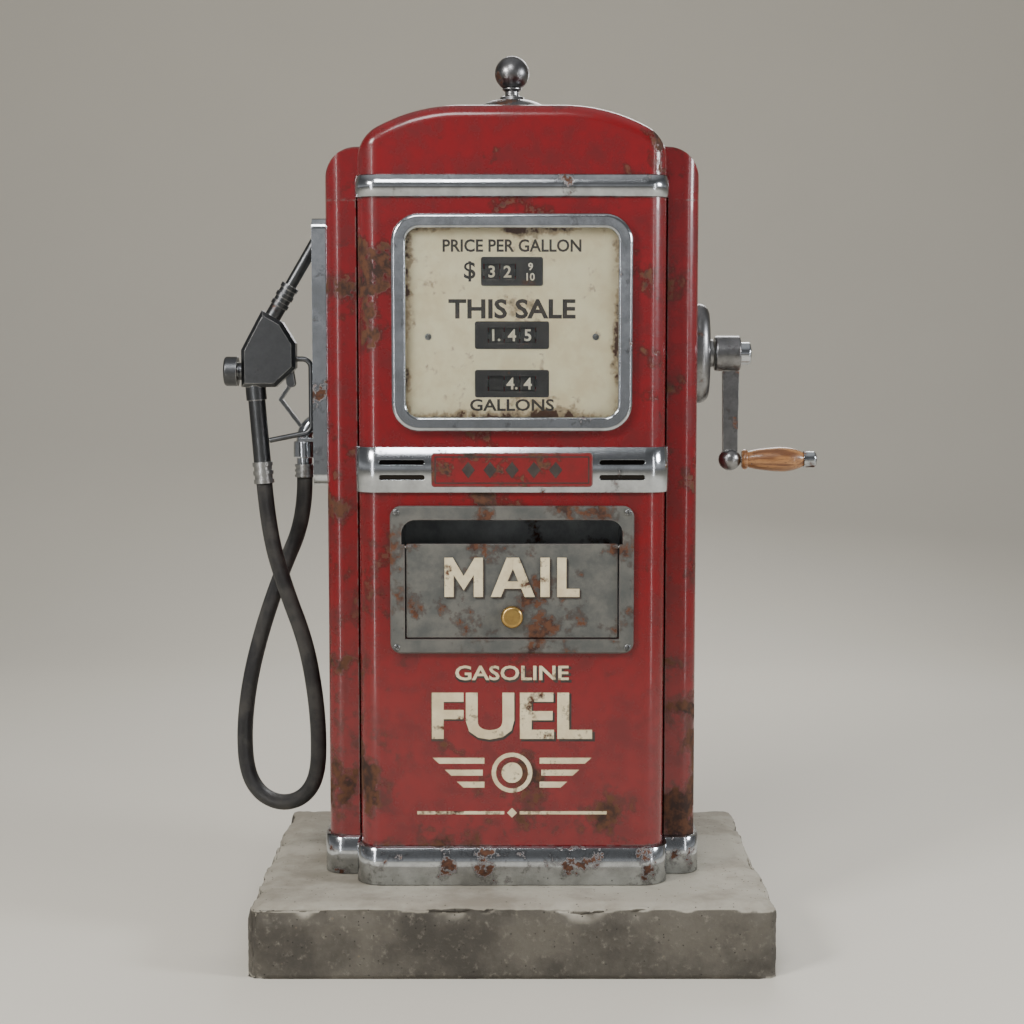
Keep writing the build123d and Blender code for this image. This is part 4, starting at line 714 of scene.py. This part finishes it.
voxel, foot_band, pipe_clear, edge_reach = 0.006, 0.004, 0.05, 0.034
slab_low, slab_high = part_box("concrete_slab")
rough = link(bpy.data.objects.new("slab_work", frame["nodes"]["concrete_slab"].data.copy()))
remesh = rough.modifiers.new("even", "REMESH")
remesh.mode, remesh.voxel_size = "VOXEL", voxel
slab_mesh = evaluated(rough, "chipped_slab")
bpy.data.objects.remove(rough)
pipe_spot = Vector(middle_of(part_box("supply_pipe"))[:2])
normals = [vertex.normal.copy() for vertex in slab_mesh.vertices]
for vertex, outward in zip(slab_mesh.vertices, normals):
    x, y, z = vertex.co
    gaps = sorted((x - slab_low[0], slab_high[0] - x, y - slab_low[1], slab_high[1] - y,
                   slab_high[2] - z))
    if z < foot_band:
        vertex.co.z = 0.0
    if (Vector((x, y)) - pipe_spot).length < pipe_clear:
        continue
    near_edge = max(0.0, 1.0 - (gaps[0] + gaps[1]) / edge_reach)
    chip = max(0.0, noise.fractal(Vector((x, y, z)) * 16.0, 1.0, 2.0, 4) + 0.12)
    large = max(0.0, noise.noise(Vector((x, y, z)) * 5.0 + Vector((3.1, 0, 0))))
    depth = 0.0008 + 0.0012 * abs(noise.fractal(Vector((x, y, z)) * 70.0, 1.0, 2.0, 3))
    depth += near_edge * (0.004 + 0.020 * chip + 0.016 * large)
    move = outward * -depth
    vertex.co.x += move.x
    vertex.co.y += move.y
    vertex.co.z = max(0.0, vertex.co.z + move.z) if z >= foot_band else 0.0
slab_mesh.shade_smooth()
placed("chipped_slab", slab_mesh, "old_concrete", node_body["concrete_slab"],
       "concrete_slab")
print("slab", len(slab_mesh.polygons), "faces")

# %% [markdown]
# ## Lettering as thin paint
# Painted words on a pump are a film a tenth of a millimetre thick. A text curve gives each
# letter's outline; it is filled, made into a mesh, scaled to the width and height that the
# word has on the object, and turned to face the front.

# %% Lettering
painted("letter_cream", (0.72, 0.63, 0.42, 1), (0.56, 0.46, 0.28, 1), gloss=0.45, rust=0.27, damp_rust=0.04,
        edge=0.05, scale=20.0, seed=13.0, coat=0.1)
painted("letter_dark", (0.020, 0.016, 0.014, 1), (0.05, 0.035, 0.028, 1), gloss=0.5, rust=0.22,
        damp_rust=0.0, edge=0.0, scale=24.0, seed=14.0, coat=0.0)
painted("figure_cream", (0.95, 0.90, 0.74, 1), (0.86, 0.78, 0.58, 1), gloss=0.5, rust=0.12, damp_rust=0.0,
        edge=0.0, scale=30.0, seed=15.0, coat=0.0)
film = 0.00012


def word_mesh(name, text, width, height, weight=0.0):
    """A word as a thin flat mesh in XZ, centred on the origin, its face towards -Y at y = 0."""
    curve = bpy.data.curves.new(name, "FONT")
    curve.body, curve.align_x, curve.resolution_u = text, "CENTER", 3
    curve.extrude, curve.offset = 0.02, weight
    work = link(bpy.data.objects.new(name + "_work", curve))
    mesh = evaluated(work, name)
    bpy.data.objects.remove(work)
    spots = [v.co.copy() for v in mesh.vertices]
    low = [min(spot[i] for spot in spots) for i in range(3)]
    high = [max(spot[i] for spot in spots) for i in range(3)]
    wide, tall, deep = (max(b - a, 1e-6) for a, b in zip(low, high))
    up = height / tall
    across = width / wide if width else up
    for vertex, spot in zip(mesh.vertices, spots):
        vertex.co = ((spot.x - (low[0] + high[0]) / 2) * across,
                     -(spot.z - low[2]) / deep * film,
                     (spot.y - (low[1] + high[1]) / 2) * up)
    return mesh


def lettering(name, text, center, width, height, finish, body, slot, weight=0.0):
    """A painted word whose back lies on the surface at center."""
    mesh = word_mesh(name, text, width, height, weight)
    mesh.transform(Matrix.Translation(Vector(center)))
    return placed(name, mesh, finish, body)


# Finish, body and material slot of the two films of paint.
dark_film, cream_film = ("letter_dark", "pump", "black_enamel"), ("letter_cream", "pump", "dial_enamel")
face_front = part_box("dial_face")[0][1]
window_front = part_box("window_frames")[0][1]
# Each caption has its name, words, height of the middle, width, height of the letters and weight.
captions = [("price_caption", "PRICE PER GALLON", 1.284, 0.246, 0.0225, 0.022),
            ("sale_caption", "THIS SALE", 1.1725, 0.226, 0.035, 0.028),
            ("gallons_caption", "GALLONS", 1.0020, 0.150, 0.0215, 0.022)]
for name, text, height, width, tall, weight in captions:
    lettering(name, text, (0.0, face_front, height), width, tall, *dark_film, weight)
lettering("dollar_sign", "$", (-0.075, face_front, 1.2386), 0.0, 0.036, *dark_film, 0.015)
for name, text, x, z in (("fraction_nine", "9", 0.033, 1.247), ("fraction_ten", "10", 0.033, 1.229)):
    lettering(name, text, (x, window_front, z), 0.0, 0.0135, "figure_cream", "pump", "dial_enamel", 0.02)
print("captions", len(captions))

# %% [markdown]
# ## Words and ornament on the front
# MAIL stands on the flap in cream with a dark shadow line, and moves with the flap. Below it
# the panel carries plain words and a simple roundel between stripes.

# %% Front lettering and ornament
def flat_shapes(name, outlines, front_y, finish, body, slot):
    """Thin painted shapes: each outline is a list of (x, z) points, anticlockwise from the front."""
    bm = bmesh.new()
    for outline in outlines:
        back = [bm.verts.new((x, front_y, z)) for x, z in outline]
        face = [bm.verts.new((x, front_y - film, z)) for x, z in outline]
        bm.faces.new(face)
        bm.faces.new(back[::-1])
        for i in range(len(outline)):
            j = (i + 1) % len(outline)
            bm.faces.new((back[i], back[j], face[j], face[i]))
    bmesh.ops.recalc_face_normals(bm, faces=bm.faces)
    return placed(name, as_mesh(bm, name), finish, body)


def bar(left, low, right, high):
    """The outline of an upright rectangle."""
    return [(left, low), (right, low), (right, high), (left, high)]


def arc_points(radius, first, last, count):
    """Points of an arc about the origin, angles in degrees."""
    turns = [math.radians(first + (last - first) * i / count) for i in range(count + 1)]
    return [(radius * math.cos(turn), radius * math.sin(turn)) for turn in turns]


def ring_sectors(center, inner, outer, count=24):
    """A ring as short sectors, so each outline is simple."""
    step = 360 / count
    sectors = []
    for i in range(count):
        points = (arc_points(outer, i * step, (i + 1) * step, 2)
                  + arc_points(inner, (i + 1) * step, i * step, 2))
        sectors.append([(center[0] + x, center[1] + z) for x, z in points])
    return sectors


def block_mail(shift_x, shift_z):
    """The four letters of MAIL in plain heavy strokes, 242 mm wide and 71 mm tall."""
    heavy, top, bottom = 0.0165, 0.7295, 0.6585
    left, right, middle, vee = -0.121, -0.052, -0.0865, 0.698
    letter_m = [(left, bottom), (left + heavy, bottom), (left + heavy, vee), (middle, bottom + 0.012),
                (right - heavy, vee), (right - heavy, bottom), (right, bottom), (right, top),
                (right - 0.9 * heavy, top), (middle, bottom + 0.038), (left + 0.9 * heavy, top),
                (left, top)]
    foot, counter, bar_low, bar_high = 0.0214, 0.020, 0.015, 0.028
    lean = foot / (top - counter - bottom)
    half_a = [(foot + 1.1 * heavy, bottom), (0.011, top), (0, top), (0, top - counter),
              (foot - bar_high * lean, bottom + bar_high), (0, bottom + bar_high), (0, bottom + bar_low),
              (foot - bar_low * lean, bottom + bar_low), (foot, bottom)]
    middle = 0.0015
    right_a = [(middle + x, z) for x, z in half_a]
    left_a = [(middle - x, z) for x, z in half_a[::-1]]
    letter_i = bar(0.051, bottom, 0.051 + heavy, top)
    left, right, foot_top = 0.081, 0.121, bottom + 0.9 * heavy
    letter_l = [(left, bottom), (right, bottom), (right, foot_top), (left + heavy, foot_top),
                (left + heavy, top), (left, top)]
    return [[(x + shift_x, z + shift_z) for x, z in outline]
            for outline in (letter_m, left_a, right_a, letter_i, letter_l)]


# The flap hangs a little behind the frame's face. The paint lies on the flap's own front.
shadow_drop = 0.003
flap_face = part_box("mail_flap")[0][1]
flat_shapes("mail_shadow", block_mail(shadow_drop, -shadow_drop), flap_face, "letter_dark",
            "mail_flap", "black_enamel")
flat_shapes("mail_word", block_mail(0.0, 0.0), flap_face - film, "letter_cream", "mail_flap",
            "dial_enamel")
panel_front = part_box("front_panel")[0][1]
for name, text, z, width, tall, weight in (("fuel_top_word", "GASOLINE", 0.519, 0.205, 0.027, 0.02),
                                           ("fuel_main_word", "FUEL", 0.440, 0.290, 0.086, 0.03)):
    lettering(name + "_shadow", text, (0.002, panel_front, z - shadow_drop), width + 0.006, tall + 0.003,
              *dark_film, weight)
    lettering(name, text, (0.0, panel_front - film, z), width, tall, *cream_film, weight)
emblem, pitch, thick, taper = (0.0, 0.336), 0.022, 0.0055, 0.012
stripes = []
for side in (-1, 1):
    for row, (start, reach) in enumerate(((0.050, 0.132), (0.053, 0.110), (0.050, 0.088))):
        z = emblem[1] + pitch - pitch * row
        box = [(side * start, z - thick), (side * reach, z - thick), (side * (reach + taper), z + thick),
               (side * start, z + thick)]
        stripes.append(box if side > 0 else box[::-1])
shapes = ring_sectors(emblem, 0.029, 0.037) + stripes
shapes.append([(emblem[0] + x, emblem[1] + z) for x, z in arc_points(0.019, 0, 345, 23)])
rule_z, rule_half, rule_start, rule_end, point = 0.262, 0.003, 0.014, 0.172, 0.009
for start, end in ((-rule_end, -rule_start), (rule_start, rule_end)):
    shapes.append(bar(start, rule_z - rule_half, end, rule_z + rule_half))
shapes.append([(0, rule_z - point), (point, rule_z), (0, rule_z + point), (-point, rule_z)])
flat_shapes("panel_ornament", shapes, panel_front, *cream_film)

plate_low, plate_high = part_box("band_plate")
mid = (plate_low[2] + plate_high[2]) / 2
frame_in, line = 0.006, 0.0022
left, right = plate_low[0] + frame_in, plate_high[0] - frame_in
low, high = plate_low[2] + frame_in, plate_high[2] - frame_in
border = [bar(left, low, right, low + line), bar(left, high - line, right, high),
          bar(left, low + line, left + line, high - line), bar(right - line, low + line, right, high - line)]
tall, wide, pitch = 0.015, 0.012, 0.039
for x in (-2 * pitch, -pitch, 0.0, pitch, 2 * pitch):
    border.append([(x, mid - tall), (x + wide, mid), (x, mid + tall), (x - wide, mid)])
flat_shapes("plate_ornament", border, plate_low[1], *dark_film)
print("ornament shapes", len(shapes) + len(border))

# %% [markdown]
# ## Figures on the number wheels
# Each counter is a row of drums with the ten figures round its rim. A figure is cut into
# narrow strips and each point wraps round the drum, so it keeps its curve as the drum turns.
# The figure that shows at rest is the one at the front.

# %% Drum figures
figure_tall, figure_weight, strip, step_angle = 0.0215, 0.02, 0.0021, math.radians(36)


def absorb(bm, part):
    """Adds one bmesh to another by way of a mesh that is thrown away."""
    passing = as_mesh(part, "passing")
    bm.from_mesh(passing)
    bpy.data.meshes.remove(passing)


def drum_figures(name, box, labels, shown, body):
    """Ten figures round a drum that turns about X; labels[shown] faces the front."""
    axis, radius = Vector(middle_of(box)), half_of(box)[2]
    bm = bmesh.new()
    for index, label in enumerate(labels):
        if not label.strip():
            continue
        part = bmesh.new()
        mesh = word_mesh(name + label, label, 0.0, figure_tall, figure_weight)
        part.from_mesh(mesh)
        bpy.data.meshes.remove(mesh)
        for cut in range(-4, 5):
            bmesh.ops.bisect_plane(part, geom=part.verts[:] + part.edges[:] + part.faces[:],
                                   plane_co=(0, 0, cut * strip), plane_no=(0, 0, 1))
        shift = index - shown
        for vertex in part.verts:
            turn = vertex.co.z / radius + step_angle * shift
            out = radius - vertex.co.y
            vertex.co = (axis.x + vertex.co.x, axis.y - out * math.cos(turn),
                         axis.z + out * math.sin(turn))
        absorb(bm, part)
    return placed(name, as_mesh(bm, name), "figure_cream", body)


digits = [str(number) for number in range(10)]
pointed = [digit + "." for digit in digits]
wheels = {"sale_wheel_1": (pointed, 1), "sale_wheel_2": (digits, 4), "sale_wheel_3": (digits, 5),
          "gallons_wheel_1": ([" "] + digits[1:], 0), "gallons_wheel_2": (pointed, 4),
          "gallons_wheel_3": (digits, 4)}
for wheel, (labels, shown) in wheels.items():
    drum_figures(wheel + "_figures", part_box(wheel), labels, shown, node_body[wheel])
price_low, price_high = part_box("price_wheels")
wheel_wide = 0.026
for name, start, shown in (("price_tens_figures", price_low[0], 3),
                           ("price_units_figures", price_high[0] - wheel_wide, 2)):
    span = ((start, price_low[1], price_low[2]), (start + wheel_wide, price_high[1], price_high[2]))
    drum_figures(name, span, digits, shown, node_body["price_wheels"])
print("drums with figures", len(wheels) + 2)

# %% [markdown]
# ## Slotted screws
# All the casing screws are one pattern, so one head is made and Geometry Nodes puts a copy at
# each place, turned at random as real slots are. The head is two half domes with the slot
# between them, on a full disc that is the slot's floor.

# %% Screws by Geometry Nodes
def circle(bm, radius, depth, count=32):
    """Adds a ring of points about the Y axis at y = depth."""
    turns = [2 * math.pi * k / count for k in range(count)]
    return [bm.verts.new((radius * math.cos(turn), depth, radius * math.sin(turn))) for turn in turns]


def bridged(bm, lower, upper):
    """Joins two rings of points with faces."""
    for k in range(len(lower)):
        after = (k + 1) % len(lower)
        bm.faces.new((lower[k], lower[after], upper[after], upper[k]))


def slotted_head(radius, rise, slot, rings=6):
    """A domed head seen along -Y, its base at y = 0, with a slot across it."""
    bm = bmesh.new()
    shoulder, floor_share, floor_depth = 0.3, 0.97, 0.35
    for half in (-1, 1):
        dome = bmesh.new()
        turns = [math.radians(90 * i / rings) for i in range(rings)]
        profile = [(radius * math.cos(turn), rise * ((1 - shoulder) * math.sin(turn) + shoulder))
                   for turn in turns]
        loops = [circle(dome, out, -up) for out, up in [(radius, 0.0)] + profile]
        tip = dome.verts.new((0, -rise, 0))
        for lower, upper in zip(loops, loops[1:]):
            bridged(dome, lower, upper)
        for k in range(len(loops[-1])):
            dome.faces.new((loops[-1][k - 1], loops[-1][k], tip))
        dome.faces.new(loops[0][::-1])
        bmesh.ops.recalc_face_normals(dome, faces=dome.faces)
        geometry = dome.verts[:] + dome.edges[:] + dome.faces[:]
        cut = bmesh.ops.bisect_plane(dome, geom=geometry, plane_co=(half * slot / 2, 0, 0),
                                     plane_no=(half, 0, 0), clear_inner=True)
        edges = [item for item in cut["geom_cut"] if isinstance(item, bmesh.types.BMEdge)]
        bmesh.ops.contextual_create(dome, geom=edges)
        absorb(bm, dome)
    floor_ring = circle(bm, floor_share * radius, -floor_depth * rise)
    base_ring = circle(bm, floor_share * radius, 0.0)
    bm.faces.new(floor_ring)
    bm.faces.new(base_ring[::-1])
    bridged(bm, base_ring, floor_ring)
    bmesh.ops.recalc_face_normals(bm, faces=bm.faces)
    return as_mesh(bm, "slotted_head")


def islands(mesh):
    """The boxes of a mesh's separate parts."""
    bm = bmesh.new()
    bm.from_mesh(mesh)
    bmesh.ops.remove_doubles(bm, verts=bm.verts, dist=1e-6)
    left, boxes = set(bm.verts), []
    while left:
        waiting = [left.pop()]
        group = list(waiting)
        while waiting:
            for edge in waiting.pop().link_edges:
                for vert in edge.verts:
                    if vert in left:
                        left.discard(vert)
                        waiting.append(vert)
                        group.append(vert)
        boxes.append(([min(v.co[i] for v in group) for i in range(3)],
                      [max(v.co[i] for v in group) for i in range(3)]))
    bm.free()
    return sorted(boxes)


screw_boxes = islands(frame["nodes"]["casing_screws"].data)
head_radius = half_of(screw_boxes[0])[0]
head_rise, slot_wide, scatter_seed = 0.003, 0.0016, 7
pattern = bpy.data.node_groups.new("screw_pattern", "GeometryNodeTree")
for label, kind in (("Places", "Geometry"), ("Head", "Object"), ("Seed", "Int"), ("Finish", "Material")):
    pattern.interface.new_socket(label, in_out="INPUT", socket_type="NodeSocket" + kind)
pattern.interface.new_socket("Screws", in_out="OUTPUT", socket_type="NodeSocketGeometry")
make = pattern.nodes.new
taken, given = make("NodeGroupInput"), make("NodeGroupOutput")
shape, turn = make("GeometryNodeObjectInfo"), make("FunctionNodeRandomValue")
scatter, spin = make("GeometryNodeInstanceOnPoints"), make("ShaderNodeCombineXYZ")
real, dressed = make("GeometryNodeRealizeInstances"), make("GeometryNodeSetMaterial")
turn.data_type = "FLOAT"
turn.inputs[3].default_value = math.pi
for start, end in ((taken.outputs["Head"], shape.inputs["Object"]),
                   (taken.outputs["Seed"], turn.inputs["Seed"]),
                   (turn.outputs[1], spin.inputs["Y"]),
                   (taken.outputs["Places"], scatter.inputs["Points"]),
                   (shape.outputs["Geometry"], scatter.inputs["Instance"]),
                   (spin.outputs[0], scatter.inputs["Rotation"]),
                   (scatter.outputs[0], real.inputs[0]),
                   (real.outputs[0], dressed.inputs["Geometry"]),
                   (taken.outputs["Finish"], dressed.inputs["Material"]),
                   (dressed.outputs[0], given.inputs[0])):
    pattern.links.new(start, end)
sockets = {item.name: item.identifier for item in pattern.interface.items_tree if item.in_out == "INPUT"}

head = link(bpy.data.objects.new("head_work", slotted_head(head_radius, head_rise, slot_wide)))
place_mesh = bpy.data.meshes.new("screw_places")
place_mesh.from_pydata([(middle_of(box)[0], box[0][1] + head_rise, middle_of(box)[2])
                        for box in screw_boxes], [], [])
places = link(bpy.data.objects.new("screw_places", place_mesh))
modifier = places.modifiers.new("screws", "NODES")
modifier.node_group = pattern
modifier[sockets["Head"]] = head
modifier[sockets["Seed"]] = scatter_seed
modifier[sockets["Finish"]] = materials["gunmetal"]
screws_mesh = evaluated(places, "slotted_screws")
for spare in (head, places):
    bpy.data.objects.remove(spare)
placed("slotted_screws", screws_mesh, "gunmetal", node_body["casing_screws"],
       "casing_screws")
print("screws", len(screw_boxes))
